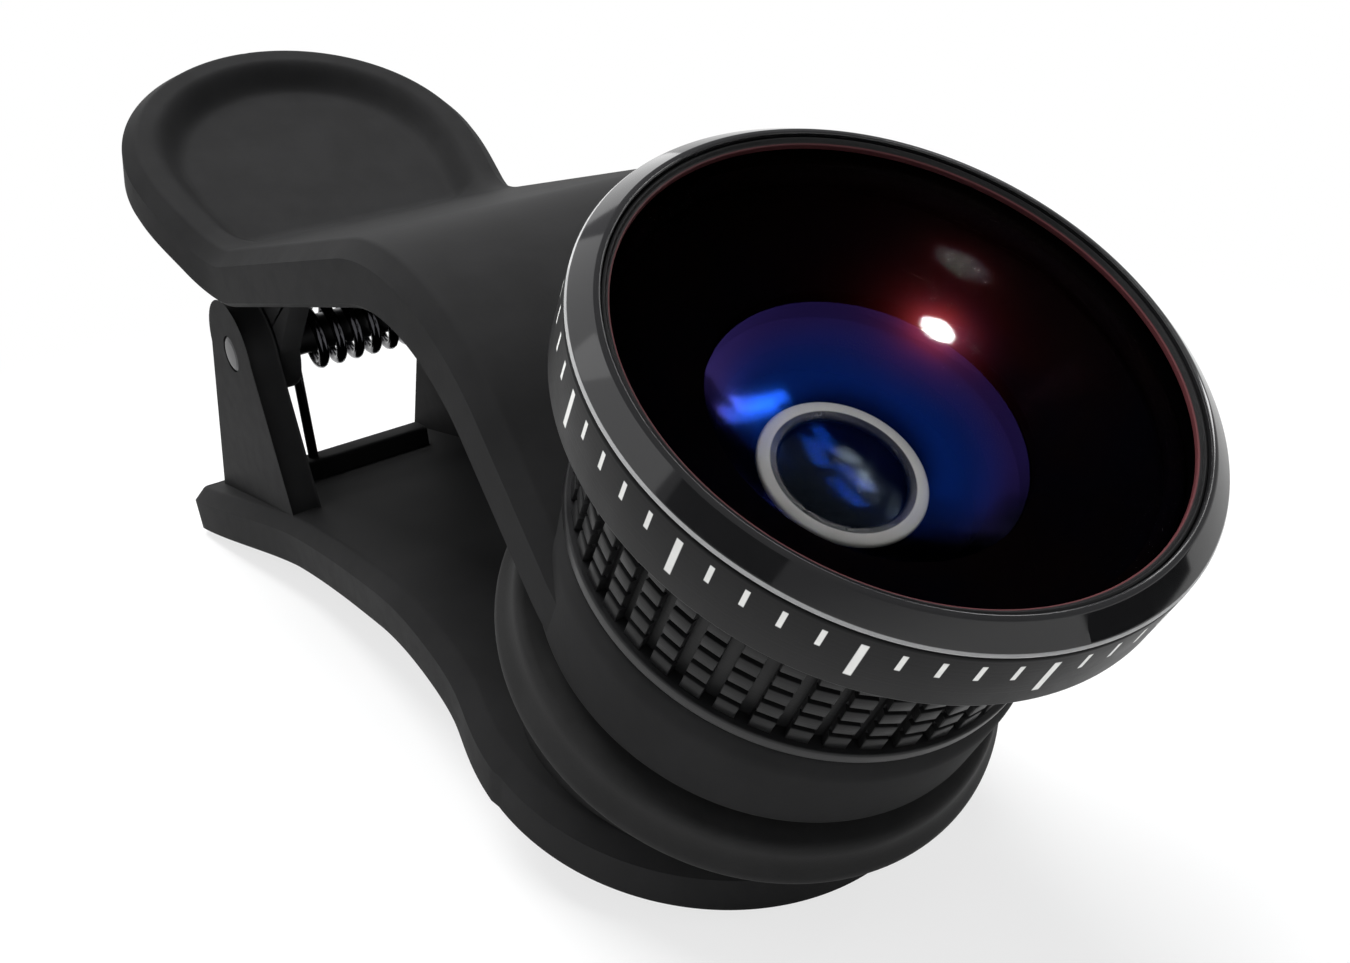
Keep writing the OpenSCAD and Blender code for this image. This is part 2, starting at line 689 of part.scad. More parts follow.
module fourth_element() {
    color([0.5, 0.6, 0.8, 0.4]) on_axis() flat_glass(small_r - slip, stack_base, stop_base, fourth_curve);
}

module aperture_stop() {
    color([0.02, 0.02, 0.02]) on_axis() ring(stop_r, small_r - slip, stop_base, spacer_base);
}

module spacer_ring() {
    color([0.05, 0.05, 0.05]) on_axis() ring(small_r - spacer_w, small_r - slip, spacer_base, spacer_base + spacer_h);
}

module third_element() {
    color([0.3, 0.4, 0.8, 0.4]) on_axis() lens_glass(small_r - slip, third_base, cell_top, third_curve, third_curve);
}

lower_jaw();
jaw_pad();
hinge_pin();
torsion_spring();
upper_jaw();
thread_insert();
upper_pad();
rear_sleeve();
rear_element();
rear_retaining_ring();
lens_barrel();
grip_ring();
front_band();
front_bezel();
front_retaining_ring();
front_element();
front_seal();
inner_cone();
element_cell();
second_element();
inner_cell();
pale_ring();
third_element();
spacer_ring();
aperture_stop();
fourth_element();
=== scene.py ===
# %% [markdown]
# # A clip-on fisheye lens
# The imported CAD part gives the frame: where the jaws, the hinge and the lens are, and how they move.
# This notebook dresses it. It builds finer meshes for the pieces that show, gives every piece a
# procedural material, and adds the floor, the lights and the camera of the photograph.

# %% Load the frame
import json
from math import atan2, ceil, cos, degrees, hypot, pi, radians, sin, sqrt, tan
import bmesh
import bpy
import numpy as np
from mathutils import Matrix, Vector

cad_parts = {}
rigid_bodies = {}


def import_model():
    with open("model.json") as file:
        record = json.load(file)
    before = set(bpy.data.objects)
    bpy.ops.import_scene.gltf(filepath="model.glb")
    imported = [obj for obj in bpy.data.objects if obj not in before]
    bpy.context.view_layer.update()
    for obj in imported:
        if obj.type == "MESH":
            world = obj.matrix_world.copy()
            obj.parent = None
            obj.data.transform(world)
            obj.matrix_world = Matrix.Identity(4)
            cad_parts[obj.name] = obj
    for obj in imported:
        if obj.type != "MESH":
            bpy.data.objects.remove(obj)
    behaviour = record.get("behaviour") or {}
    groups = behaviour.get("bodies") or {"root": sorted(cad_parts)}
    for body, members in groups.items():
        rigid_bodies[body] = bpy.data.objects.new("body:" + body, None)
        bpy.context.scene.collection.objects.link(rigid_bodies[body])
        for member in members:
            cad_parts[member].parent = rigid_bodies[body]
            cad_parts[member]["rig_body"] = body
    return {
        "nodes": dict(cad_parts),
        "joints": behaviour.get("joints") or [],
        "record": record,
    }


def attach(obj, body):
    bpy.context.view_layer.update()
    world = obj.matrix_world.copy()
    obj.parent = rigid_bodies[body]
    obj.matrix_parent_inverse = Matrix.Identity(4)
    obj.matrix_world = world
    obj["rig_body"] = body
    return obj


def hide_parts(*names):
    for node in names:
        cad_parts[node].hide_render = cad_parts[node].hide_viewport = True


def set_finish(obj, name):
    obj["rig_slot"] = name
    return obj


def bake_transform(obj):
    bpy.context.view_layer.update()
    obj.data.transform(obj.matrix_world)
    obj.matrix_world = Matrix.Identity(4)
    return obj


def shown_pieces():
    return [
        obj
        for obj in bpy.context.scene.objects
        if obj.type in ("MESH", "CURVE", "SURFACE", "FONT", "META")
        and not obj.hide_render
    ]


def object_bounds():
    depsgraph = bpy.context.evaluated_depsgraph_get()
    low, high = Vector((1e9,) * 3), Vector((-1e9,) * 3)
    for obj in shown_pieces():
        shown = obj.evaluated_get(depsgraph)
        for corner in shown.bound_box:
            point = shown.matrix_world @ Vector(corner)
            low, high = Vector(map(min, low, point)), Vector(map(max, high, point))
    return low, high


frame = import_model()
cad_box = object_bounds()
joints = {j["name"]: j for j in frame["joints"]}

# %% [markdown]
# ## One frame for the clip and one for the lens
# The clip is drawn in the row frame, in millimetres from the clamp seat. The lens leans by 32 degrees,
# so its round pieces are drawn upright about their own Z axis and a matrix leans them. Both matrices
# come from the joint that the lens turns on.

# %% Frames
MM = 0.001
seat = Vector(joints["lens_turn"]["pos_m"])
axis = Vector(joints["lens_turn"]["axis"]).normalized()
pin_at = Vector(joints["jaw_hinge"]["pos_m"])
tilt = atan2(axis.x, axis.z)
clip_frame = Matrix.Translation((seat.x, 0, 0))
lens_frame = Matrix.Translation(seat) @ Matrix.Rotation(tilt, 4, "Y")
pin_frame = Matrix.Translation(pin_at) @ Matrix.Rotation(radians(90), 4, "X")
lens_in_clip = clip_frame.inverted() @ lens_frame
pin_x, pin_z = (pin_at.x - seat.x) / MM, pin_at.z / MM
print("lens leans by", round(degrees(tilt), 2), "degrees")

# %% [markdown]
# ## Tools for mesh pieces
# `piece` turns points in millimetres into an object, closes what is open, shades it smooth and hangs it
# on its CAD body. `rounded` replaces the corners of an outline by small curves, because a real edge is
# never perfectly sharp and its curve is what catches the light. `turned` spins a profile, like a lathe.

# %% Mesh tools
WELD = 1e-6
ON_AXIS = 1e-9
MOST_OF_A_SIDE = 0.45


def stand_in(name, data):
    """An object for some data, linked to the scene."""
    obj = bpy.data.objects.new(name, data)
    bpy.context.scene.collection.objects.link(obj)
    return obj


def piece(name, points, faces, body, slot, matrix, replaces=(), sharp=38):
    """A closed, smooth object from points in millimetres, hung on its CAD body."""
    mesh = bpy.data.meshes.new(name)
    mesh.from_pydata([[c * MM for c in p] for p in points], [], faces)
    bm = bmesh.new()
    bm.from_mesh(mesh)
    bmesh.ops.remove_doubles(bm, verts=bm.verts, dist=WELD)
    open_edges = [e for e in bm.edges if e.is_boundary]
    bmesh.ops.holes_fill(bm, edges=open_edges, sides=0)
    bmesh.ops.recalc_face_normals(bm, faces=bm.faces)
    bm.to_mesh(mesh)
    bm.free()
    mesh.shade_smooth()
    mesh.set_sharp_from_angle(angle=radians(sharp))
    obj = stand_in(name, mesh)
    obj.matrix_world = matrix
    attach(obj, body)
    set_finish(obj, slot)
    if replaces:
        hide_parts(*replaces)
    print(name, len(mesh.polygons), "faces on", body)
    return obj


def curve_corner(a, b, c, radius, steps=4):
    """The points of a small curve in place of the corner b between a and c."""
    a, b, c = (np.array(p, float) for p in (a, b, c))
    back, ahead = a - b, c - b
    back_len, ahead_len = np.linalg.norm(back), np.linalg.norm(ahead)
    cut = min(radius, MOST_OF_A_SIDE * back_len, MOST_OF_A_SIDE * ahead_len)
    start = b + back / back_len * cut
    end = b + ahead / ahead_len * cut
    shares = [i / steps for i in range(steps + 1)]
    return [(1 - t) ** 2 * start + 2 * t * (1 - t) * b + t * t * end for t in shares]


def rounded(outline, radius, closed=True):
    """An outline with its corners curved. An open one keeps its ends, and points on the axis stay."""
    made, count = [], len(outline)
    for i, b in enumerate(outline):
        at_end = not closed and i in (0, count - 1)
        if at_end or abs(b[0]) < ON_AXIS:
            made.append(np.array(b, float))
        else:
            made.extend(curve_corner(outline[i - 1], b, outline[(i + 1) % count], radius))
    return made


def ring_faces(rings, count, closed=False):
    """Quads between rings of count points each. A closed run joins its last ring to its first."""
    faces = []
    for k in range(rings if closed else rings - 1):
        a, b = k * count, (k + 1) % rings * count
        faces.extend((a + i, a + (i + 1) % count, b + (i + 1) % count, b + i) for i in range(count))
    return faces


def spun(outline, segments):
    """Points and faces of a closed (radius, height) outline that is spun about Z."""
    count = len(outline)
    angles = np.linspace(0, 2 * pi, segments, endpoint=False)
    points = [(r * cos(a), r * sin(a), h) for a in angles for r, h in outline]
    faces = []
    for i in range(segments):
        low, high = i * count, (i + 1) % segments * count
        for k in range(count):
            following = (k + 1) % count
            faces.append((low + k, high + k, high + following, low + following))
    return points, faces


def turned(name, outline, body, slot, soft=0.1, replaces=(), segments=160, matrix=lens_frame):
    points, faces = spun(rounded(outline, soft), segments)
    return piece(name, points, faces, body, slot, matrix, replaces)


def leaned(points):
    """Points about the lens axis, moved into the frame of the clip."""
    return [tuple((lens_in_clip @ (Vector(p) * MM)) / MM) for p in points]


def merge(*parts):
    points, faces = [], []
    for some, those in parts:
        base = len(points)
        points.extend(some)
        faces.extend(tuple(i + base for i in f) for f in those)
    return points, faces


# %% [markdown]
# ## Strips that bend
# Both jaws are plates that bend along the clip. `Trace` walks along the middle of such a plate in legs
# and bends, so a place on it is a length along it, a width across it and a height over it. `plate`
# sweeps the shape of the edge, with its chamfer, round the whole outline, and fills the top and bottom
# with rows. A height function can press a dish into the top, and a mouth function hollow out its front.

# %% Strip tools
class Trace:
    """The middle line of a bent plate, in the XZ plane."""

    def __init__(self, start, heading, moves, step=0.1):
        points, headings, lengths = [np.array(start, float)], [radians(heading)], [0.0]
        for length, turn in moves:
            count = max(1, ceil(length / step))
            for _ in range(count):
                middle = headings[-1] + turn / count / 2
                ahead = np.array([cos(middle), sin(middle)])
                points.append(points[-1] + length / count * ahead)
                headings.append(headings[-1] + turn / count)
                lengths.append(lengths[-1] + length / count)
        self.points, self.headings = np.array(points), np.array(headings)
        self.lengths = np.array(lengths)
        self.end = self.lengths[-1]

    def place(self, along, across, over):
        inside = min(max(along, 0.0), self.end)
        x = np.interp(inside, self.lengths, self.points[:, 0])
        z = np.interp(inside, self.lengths, self.points[:, 1])
        h = np.interp(inside, self.lengths, self.headings)
        x, z = x + (along - inside) * cos(h), z + (along - inside) * sin(h)
        return (x + over * sin(h), across, z - over * cos(h))


def leg(length):
    return (length, 0.0)


def bend(turn, radius):
    return (abs(radians(turn)) * radius, radians(turn))


def inward(outline):
    """Unit normals that point from the right-hand outline into the plate."""
    p = np.array(outline)
    ahead = np.gradient(p, axis=0)
    ahead /= np.linalg.norm(ahead, axis=1)[:, None]
    normals = np.stack([-ahead[:, 1], ahead[:, 0]], axis=1)
    for i in (0, -1):
        if abs(p[i, 1]) < ON_AXIS:
            normals[i] = (1, 0) if i == 0 else (-1, 0)
    return normals


def plate(trace, right, edge, columns, height=None, mouth=None):
    """Points and faces of a bent plate. right is its right-hand outline as (along, across), edge the
    shape of its edge as (inset, over) from top to bottom, height the lift of its top, and mouth the
    shift of a hollow front end."""
    right, normals = np.array(right), inward(right)
    count, ring = len(right), len(edge)
    points, faces = [], []

    def add(along, across, over):
        points.append(trace.place(along, across, over))
        return len(points) - 1

    def sheet(grid, flip):
        for a, b in zip(grid, grid[1:]):
            for k in range(len(a) - 1):
                quad = (a[k], a[k + 1], b[k + 1], b[k])
                faces.append(quad[::-1] if flip else quad)

    def shift(i, across, over):
        return mouth(i, across, over) if mouth else 0.0

    for side in (1, -1):
        band = []
        for i in range(count):
            spots = [(right[i] + inset * normals[i], over) for inset, over in edge]
            band.append([add(p[0] + shift(i, p[1], over), side * p[1], over) for p, over in spots])
        sheet(band, side < 0)
    front_rows = []
    for level, flip in ((0, False), (ring - 1, True)):
        inset, over = edge[level]
        rows = []
        for i in range(count):
            along, across = right[i] + inset * normals[i]
            row = []
            for j in range(columns + 1):
                y = across * (1 - 2 * j / columns)
                s = along + shift(i, y, over)
                lift = height(s, y) if height and level == 0 else 0
                row.append(add(s, y, over + lift))
            rows.append(row)
        sheet(rows, flip)
        front_rows.append(rows[0])
    if mouth:
        sheet(front_rows, True)
    return points, faces


def smooth_max(a, b, soft):
    return (a + b + sqrt((a - b) ** 2 + soft * soft)) / 2


def smooth_step(low, high, value):
    t = min(max((value - low) / (high - low), 0.0), 1.0)
    return t * t * (3 - 2 * t)


def arc(centre, radius, start, end, count):
    angles = np.linspace(radians(start), radians(end), count)
    return [(centre[0] + radius * cos(a), centre[1] + radius * sin(a)) for a in angles]


# %% [markdown]
# ## Flat cheeks round the pin
# The upper jaw's lugs and the lower jaw's ears are flat plates with a hole for the hinge pin. `cheek`
# runs loops round such a plate, from the hole over one softened edge to the other face, and joins them.

# %% Cheeks
SHARE_OF_SOFT = 0.3


def along_lines(corners, step=0.5):
    """Points at even steps along the sides of a closed outline."""
    made = []
    for a, b in zip(corners, corners[1:] + corners[:1]):
        a, b = np.array(a, float), np.array(b, float)
        count = max(1, int(np.linalg.norm(b - a) / step))
        made.extend(a + (b - a) * i / count for i in range(count))
    return made


def cheek(outline, low, high, hole, soft=0.25):
    """A flat plate from low to high across the clip. The outline is (x, z) round the pin."""
    pin = np.array([pin_x, pin_z])
    p = np.array(outline, float)
    ahead = np.roll(p, -1, axis=0) - np.roll(p, 1, axis=0)
    ahead /= np.linalg.norm(ahead, axis=1)[:, None]
    inside = np.stack([-ahead[:, 1], ahead[:, 0]], axis=1)
    away = p - pin
    rim = pin + away / np.linalg.norm(away, axis=1)[:, None] * hole
    bit = SHARE_OF_SOFT * soft
    loops = [(rim, low), (p + soft * inside, low), (p + bit * inside, low + bit), (p, low + soft),
             (p, high - soft), (p + bit * inside, high - bit), (p + soft * inside, high), (rim, high)]
    points = [(q[0], y, q[1]) for loop, y in loops for q in loop]
    return points, ring_faces(len(loops), len(p), closed=True)


# %% [markdown]
# ## The upper jaw's strip
# The upper jaw starts at the round boss that the lens screws into and runs back as one strip: a steep
# leg, a round crest, a ramp down to the valley and the thumb pad. The legs and bends below are that
# walk, in millimetres and degrees. The strip widens smoothly into the round pad.

# %% Upper jaw outline
THICK = 3.2
HALF_THICK = THICK / 2
STRIP_LIFT = 2.6
STRIP_HALF, PAD_R = 10.4, 11.5
FLARE_START, FLARE_END = 9.5, 0.5
VALLEY_TURN, VALLEY_BEND, PAD_LEG = 40, 8, 5.7
jaw_edge = rounded([(1.25, 1.6), (0.85, 1.6), (0, 0.8), (0, -1.3), (0.3, -1.6), (0.7, -1.6)], 0.16,
                   closed=False)
strip_start = (STRIP_LIFT * sin(tilt), seat.z / MM + STRIP_LIFT * cos(tilt))
upper_trace = Trace(strip_start, 180 - degrees(tilt), [
    leg(1), bend(-21, 8), leg(7), bend(65, 11.4), leg(18.4), bend(-VALLEY_TURN, VALLEY_BEND),
    leg(PAD_LEG)])
pad_mid = upper_trace.end
valley_end = pad_mid - PAD_LEG
valley_start = valley_end - radians(VALLEY_TURN) * VALLEY_BEND


def upper_half_width(s):
    flare = smooth_step(pad_mid - FLARE_START, pad_mid - FLARE_END, s)
    return STRIP_HALF + (PAD_R - STRIP_HALF) * flare


pad_end = arc((pad_mid, 0), PAD_R + 0.02, -89, 0, 60)
upper_right = [(s, -upper_half_width(s)) for s in np.arange(0, pad_mid - FLARE_END, 0.35)]
upper_right += [(s, -max(-y, 0)) for s, y in pad_end]
upper_right[-1] = (pad_mid + PAD_R, 0.0)
print("upper jaw is", round(pad_mid + PAD_R, 1), "mm along its strip")

# %% [markdown]
# ## Dish and mouth
# The thumb dish is pressed into the top of the pad. It has soft walls all round the pad's end, and its
# floor runs flat towards the valley until it meets the ramp in a crease. The strip starts at the lens
# axis, so its front end is pushed back to the boss's wall: most in the middle, less at the sides.

# %% Dish and mouth
DISH_DEPTH, DISH_MARGIN, DISH_WALL = 1.5, 1.85, 1.9
VALLEY_R = VALLEY_BEND - HALF_THICK
MOUTH_R, MOUTH_FLARE, MOUTH_ROWS = 10.53, 0.46, 46


def dish(s, y):
    """How far the top is pressed in at a place along and across the strip."""
    edge = upper_half_width(s) - DISH_MARGIN
    wall = smooth_step(edge, edge - DISH_WALL, hypot(max(s - pad_mid, 0), y))
    if s >= valley_end:
        return -DISH_DEPTH * wall
    if s <= valley_start:
        return 0.0
    ramp_face = VALLEY_R / cos((s - valley_start) / VALLEY_BEND) - VALLEY_R
    floor_face = (VALLEY_R + DISH_DEPTH) / cos((valley_end - s) / VALLEY_BEND) - VALLEY_R
    return -min(ramp_face, floor_face) * wall


def boss_mouth(i, y, over):
    """How far row i is pushed back, so that the strip's end follows the boss's wall."""
    r = MOUTH_R + MOUTH_FLARE * over / THICK
    return sqrt(max(r * r - y * y, 0)) * (1 - smooth_step(0, MOUTH_ROWS, i))


strip = plate(upper_trace, upper_right, jaw_edge, 64, dish, boss_mouth)
print("strip has", len(strip[1]), "faces")

# %% [markdown]
# ## Boss and lugs
# The boss is turned about the lens axis and leaned into the clip's frame. Two lugs under the neck turn
# on the hinge pin. Strip, boss and lugs are one moulding on the real clip, so they are one piece here.

# %% Upper jaw
LUG_ROOT, LUG_FRONT, LUG_R, LUG_HOLE = -1.2, 42.3, 3, 1.25
LUG_SIDES = ((-6.45, -4.95), (4.95, 6.45))
boss_outline = rounded([(10.7, 1.0), (10.7, 4.9), (10.28, 5.7), (9.26, 5.7), (9.26, 1.6), (7.2, 1.6),
                        (7.2, 1.0)], 0.3)
boss_points, boss_faces = spun(boss_outline, 200)
lug_top = [upper_trace.place(s, 0, LUG_ROOT) for s in np.linspace(LUG_FRONT, pad_mid, 14)]
lug_corners = arc((pin_x, pin_z), LUG_R, 180, 360, 24) + [(p[0], p[2]) for p in lug_top]
lugs = [cheek(along_lines(lug_corners), low, high, LUG_HOLE) for low, high in LUG_SIDES]
piece("upper_jaw_moulding", *merge(strip, (leaned(boss_points), boss_faces), *lugs), "upper_jaw",
      "clip_plastic", clip_frame, ["upper_jaw"])

# %% [markdown]
# ## The lower jaw's strip
# The same tools make the lower jaw: a round end disc, a low arch, a waist and a tail with a square end.
# It stands on the disc's rim and on the tail's end, so the tail's length follows from where it starts.

# %% Lower jaw outline
NOSE_DEG, TAIL_DEG, NOSE_X = 17, 9.5, 6
DISC_R, WAIST_FROM_END, TAIL_CORNER, TAIL_BOW = 12.0, 16.1, 1.2, 0.02
ARCH_HALF, WAIST_CUT, TAIL_FLARE = 11.4, 2.1, 1.3
nose_slope, tail_slope = radians(NOSE_DEG), radians(TAIL_DEG)
nose_start = (NOSE_X + HALF_THICK * sin(nose_slope), HALF_THICK * cos(nose_slope))
arch_moves = [leg(15.9), bend(26.5, 26.6)]
arch_top = Trace(nose_start, 180 - NOSE_DEG, arch_moves).points[-1][1]
tail_len = (arch_top - HALF_THICK * cos(tail_slope)) / sin(tail_slope)
lower_trace = Trace(nose_start, 180 - NOSE_DEG, arch_moves + [leg(tail_len)])
tail_end = lower_trace.end
waist = tail_end - WAIST_FROM_END


def lower_half_width(s):
    strip_part = (ARCH_HALF - WAIST_CUT * smooth_step(8, waist, s)
                  + TAIL_FLARE * smooth_step(waist - 2, tail_end, s))
    round_part = sqrt(max(DISC_R ** 2 - (s - DISC_R) ** 2, 0))
    return smooth_max(strip_part, round_part, 0.6)


def tail_height(x):
    """Height of the tail's middle plane above the floor."""
    mid = lower_trace.points[-1]
    return mid[1] + (x - mid[0]) * tan(tail_slope)


lower_right = arc((DISC_R, 0), DISC_R, -180, -90, 70)[:-1]
lower_right[0] = (0.0, 0.0)
sides = np.arange(DISC_R + 0.2, tail_end - TAIL_CORNER, 0.4)
lower_right += [(s, -lower_half_width(s)) for s in sides]
tail_w = lower_half_width(tail_end - TAIL_CORNER)
lower_right += arc((tail_end - TAIL_CORNER, -tail_w + TAIL_CORNER), TAIL_CORNER, -80, -4, 10)
lower_right += [(tail_end - TAIL_BOW + TAIL_BOW * (1 - (y / tail_w) ** 2), y)
                for y in np.linspace(-tail_w + TAIL_CORNER + 0.5, 0, 14)]
lower_right[-1] = (lower_right[-1][0], 0.0)
print("lower jaw is", round(tail_end, 1), "mm along its strip")

# %% [markdown]
# ## Ears, spring rest and plug
# Two ears rise from the tail to hold the pin, a small bar between them takes one leg of the spring, and
# a leaning plug under the rubber pad turns the pad square to the lens. All of it is one moulding.

# %% Lower jaw
EAR_R, EAR_BACK, EAR_FRONT, EAR_HOLE = 3.3, 8.6, 6, 1.2
EAR_SIDES = ((-8.5, -6.6), (6.6, 8.5))
COIL_R = 2.05
REST_TOP, REST_HALF_X, REST_HALF_Y = 6.0, 0.8, 4.6


def bar(low, high, soft):
    """A block with curved edges, as rings of its outline that shrink at both ends."""
    (x0, y0, z0), (x1, y1, z1) = low, high
    outline = rounded([(x0, z0), (x1, z0), (x1, z1), (x0, z1)], soft)
    middle = np.mean(outline, axis=0)
    loops = [(y0, 0.7), (y0, 0.9), (y0 + soft, 1), (y1 - soft, 1), (y1, 0.9), (y1, 0.7)]
    points = []
    for y, share in loops:
        for q in outline:
            x, z = middle + (q - middle) * share
            points.append((x, y, z))
    return points, ring_faces(len(loops), len(outline))


ear_corners = arc((pin_x, pin_z), EAR_R, 0, 180, 28)
ear_corners += [(x, tail_height(x)) for x in (pin_x - EAR_BACK, pin_x + EAR_FRONT)]
ears = [cheek(along_lines(ear_corners)[::-1], low, high, EAR_HOLE) for low, high in EAR_SIDES]
rest_x = pin_x - COIL_R
spring_rest = bar((rest_x - REST_HALF_X, -REST_HALF_Y, tail_height(rest_x)),
                  (rest_x + REST_HALF_X, REST_HALF_Y, REST_TOP), 0.25)
plug_points, plug_faces = spun([(0.0, -1.9), (10.4, -1.9), (10.4, -6.5), (0.0, -9.0)], 96)
lower_strip = plate(lower_trace, lower_right, jaw_edge, 56)
piece("lower_jaw_moulding", *merge(lower_strip, *ears, spring_rest, (leaned(plug_points), plug_faces)),
      "base", "clip_plastic", clip_frame, ["lower_jaw"])

# %% [markdown]
# ## Rubber pads
# The lower pad is a flared disc with a soft lip; the upper one is a thin ring round the sight hole,
# which shows in the photograph only as a dark band between the boss and the disc.

# %% Pads
turned("jaw_pad_rubber", [(0, -1.9), (12.0, -1.9), (11.95, -1.6), (11.5, -0.9), (11.35, 0.0), (0, 0.0)],
       "base", "pad_rubber", 0.4, ["jaw_pad"])
turned("upper_pad_rubber", [(7.2, 0.1), (9.9, 0.1), (9.9, 1.0), (7.2, 1.0)], "upper_jaw", "pad_rubber",
       0.15, ["upper_pad"])

# %% [markdown]
# ## Pin and spring
# The pin has a slightly domed end that lies flush in each ear. The spring is one wire that is swept
# along its path: up from the bar on the tail, six turns round the pin, and up to the thumb pad.

# %% Hinge
turned("hinge_pin_steel", [
    (0, -8.56), (0.9, -8.52), (1.19, -8.38), (1.19, 8.38), (0.9, 8.52), (0, 8.56)],
    "base", "pin_steel", 0.08, ["hinge_pin"], 48, pin_frame)
WIRE_R, COIL_TURNS, COIL_PITCH, PAD_ANGLE = 0.35, 6, 1.25, 28.0
LEG_GAP, BLEND_INSET = 0.05, 0.0004


def tube(path, radius, sides=12):
    """A wire swept along points."""
    p = np.array(path, float)
    ahead = np.gradient(p, axis=0)
    ahead /= np.linalg.norm(ahead, axis=1)[:, None]
    up = np.array([0.0, 1.0, 0.0])
    points = []
    for q, t in zip(p, ahead):
        u = up - np.dot(up, t) * t
        u /= np.linalg.norm(u)
        v = np.cross(t, u)
        for k in range(sides):
            a = 2 * pi * k / sides
            points.append(tuple(q + radius * (cos(a) * u + sin(a) * v)))
    return points, ring_faces(len(p), sides)


sweep = 360 * COIL_TURNS + PAD_ANGLE
coil_len = COIL_PITCH * sweep / 360
normal = (sin(radians(PAD_ANGLE)), cos(radians(PAD_ANGLE)))
path = [(rest_x, -coil_len / 2, z) for z in np.linspace(REST_TOP + LEG_GAP, pin_z - 1.2, 8)]
for share in np.linspace(0, 1, 150):
    a = radians(180 - sweep * share)
    path.append((pin_x + COIL_R * cos(a), -coil_len / 2 + coil_len * share,
                 pin_z + COIL_R * sin(a)))
leave = path[-1]
thumb = upper_trace.place(pad_mid, 0, 0)
reach = (thumb[0] - leave[0]) * normal[0] + (thumb[2] - leave[2]) * normal[1] - 1.65
path += [(leave[0] + normal[0] * d, leave[1], leave[2] + normal[1] * d)
         for d in np.linspace(0.6, reach, 6)]
spring_points, spring_faces = tube(path, WIRE_R)
spring = piece("torsion_spring_wire", spring_points, spring_faces, "base", "spring_steel", clip_frame,
               ["torsion_spring"])
spring.parent = None
spring.matrix_world = clip_frame
del spring["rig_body"]
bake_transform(spring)

# %% [markdown]
# ## Barrel and grip ring
# The grip ring is a plain sleeve with forty-four ribs, and each rib carries eight blocks, so the cross
# cuts are shallower than the channels between the ribs. On the real lens a tool or a mould makes them;
# here each block is a small box with softened edges.

# %% Barrel
turned("lens_barrel_black", [
    (8.5, 5.8), (10.45, 5.8), (10.45, 6.4), (9.36, 6.4), (9.36, 13.85), (11.91, 13.85), (11.91, 16.8),
    (11.36, 16.8), (11.36, 14.25), (8.85, 14.25), (8.85, 9.3), (7.2, 9.3), (7.2, 8.5), (8.5, 8.5)],
    "lens", "barrel_black", 0.12, ["lens_barrel"])
RIBS, ROWS, RIB_SHARE, HALF_SLOT = 44, 8, 0.62, 0.14
GRIP_FLOOR, GRIP_ROOF, GRIP_LOW, GRIP_HIGH = 6.4, 13.85, 6.42, 13.83


def block(angle, half, low, high, inner, outer, soft):
    """A small raised block on a cylinder, with its top edges taken off."""
    bit = SHARE_OF_SOFT * soft
    loops = [(inner, 0), (outer - soft, 0), (outer - bit, bit), (outer, soft)]
    points = []
    for r, inset in loops:
        w = half - inset / r
        corners = ((-w, low + inset), (w, low + inset), (w, high - inset), (-w, high - inset))
        points += [(r * cos(angle + a), r * sin(angle + a), h) for a, h in corners]
    last = 4 * (len(loops) - 1)
    ends = [(0, 1, 2, 3), (last, last + 1, last + 2, last + 3)]
    return points, ring_faces(len(loops), 4) + ends


sleeve = rounded([(9.4, GRIP_LOW), (9.75, GRIP_LOW), (9.75, GRIP_HIGH), (9.4, GRIP_HIGH)], 0.05)
grip_parts = [spun(sleeve, 136)]
half = radians(360 / RIBS * RIB_SHARE / 2)
step = (GRIP_ROOF - GRIP_FLOOR) / ROWS
for i in range(RIBS):
    a = 2 * pi * i / RIBS
    grip_parts.append(block(a, half, GRIP_LOW, GRIP_HIGH, 9.7, 9.9, 0.03))
    for k in range(ROWS):
        low = GRIP_LOW if k == 0 else GRIP_FLOOR + k * step + HALF_SLOT
        high = GRIP_HIGH if k == ROWS - 1 else GRIP_FLOOR + (k + 1) * step - HALF_SLOT
        grip_parts.append(block(a, half, low, high, 9.86, 10.2, 0.05))
piece("grip_ring_knurled", *merge(*grip_parts), "lens", "barrel_black", lens_frame, ["grip_ring"],
      sharp=50)

# %% [markdown]
# ## Band, bezel and keeper
# The band wraps the cup of the barrel. The bezel closes it with a wide outer chamfer that mirrors the
# room, and the thin keeper ring inside it holds the front glass.

# %% Front rings
turned("front_band_plain", [(11.95, 13.85), (12.5, 13.85), (12.5, 16.74), (11.95, 16.74)], "lens",
       "band_grey", 0.12, ["front_band"], 200)
turned("front_bezel_polished", [
    (11.36, 16.8), (12.44, 16.8), (12.5, 16.87), (12.42, 17.0), (11.62, 17.62), (11.42, 17.65),
    (11.36, 17.6)], "lens", "bezel_black", 0.05, ["front_bezel"], 240)
turned("front_retaining_ring_black", [
    (11.0, 17.1), (11.32, 17.1), (11.32, 17.45), (11.2, 17.5), (11.12, 17.36), (11.0, 17.32)],
    "lens", "bezel_black", 0.03, ["front_retaining_ring"], 240)

# %% [markdown]
# ## The glass
# Each glass is spun from arcs of its true curves. The front glass is a bulging shell, the second one a
# deep bowl, and the small ones sit under the cream ring. A very thin film on the front glass stands for
# its coating.

# %% Glass
def cap(radius, edge_r, edge_h, bulge, count=24):
    """A spherical face from the axis to its edge: bulge is 1 upwards and -1 downwards."""
    centre = edge_h - bulge * sqrt(radius ** 2 - edge_r ** 2)
    return [(r, centre + bulge * sqrt(radius ** 2 - r * r)) for r in np.linspace(0, edge_r, count)]


def glass(name, outline, body, slot, replaces, segments=128):
    points, faces = spun([np.array(p, float) for p in outline], segments)
    return piece(name, points, faces, body, slot, lens_frame, replaces)


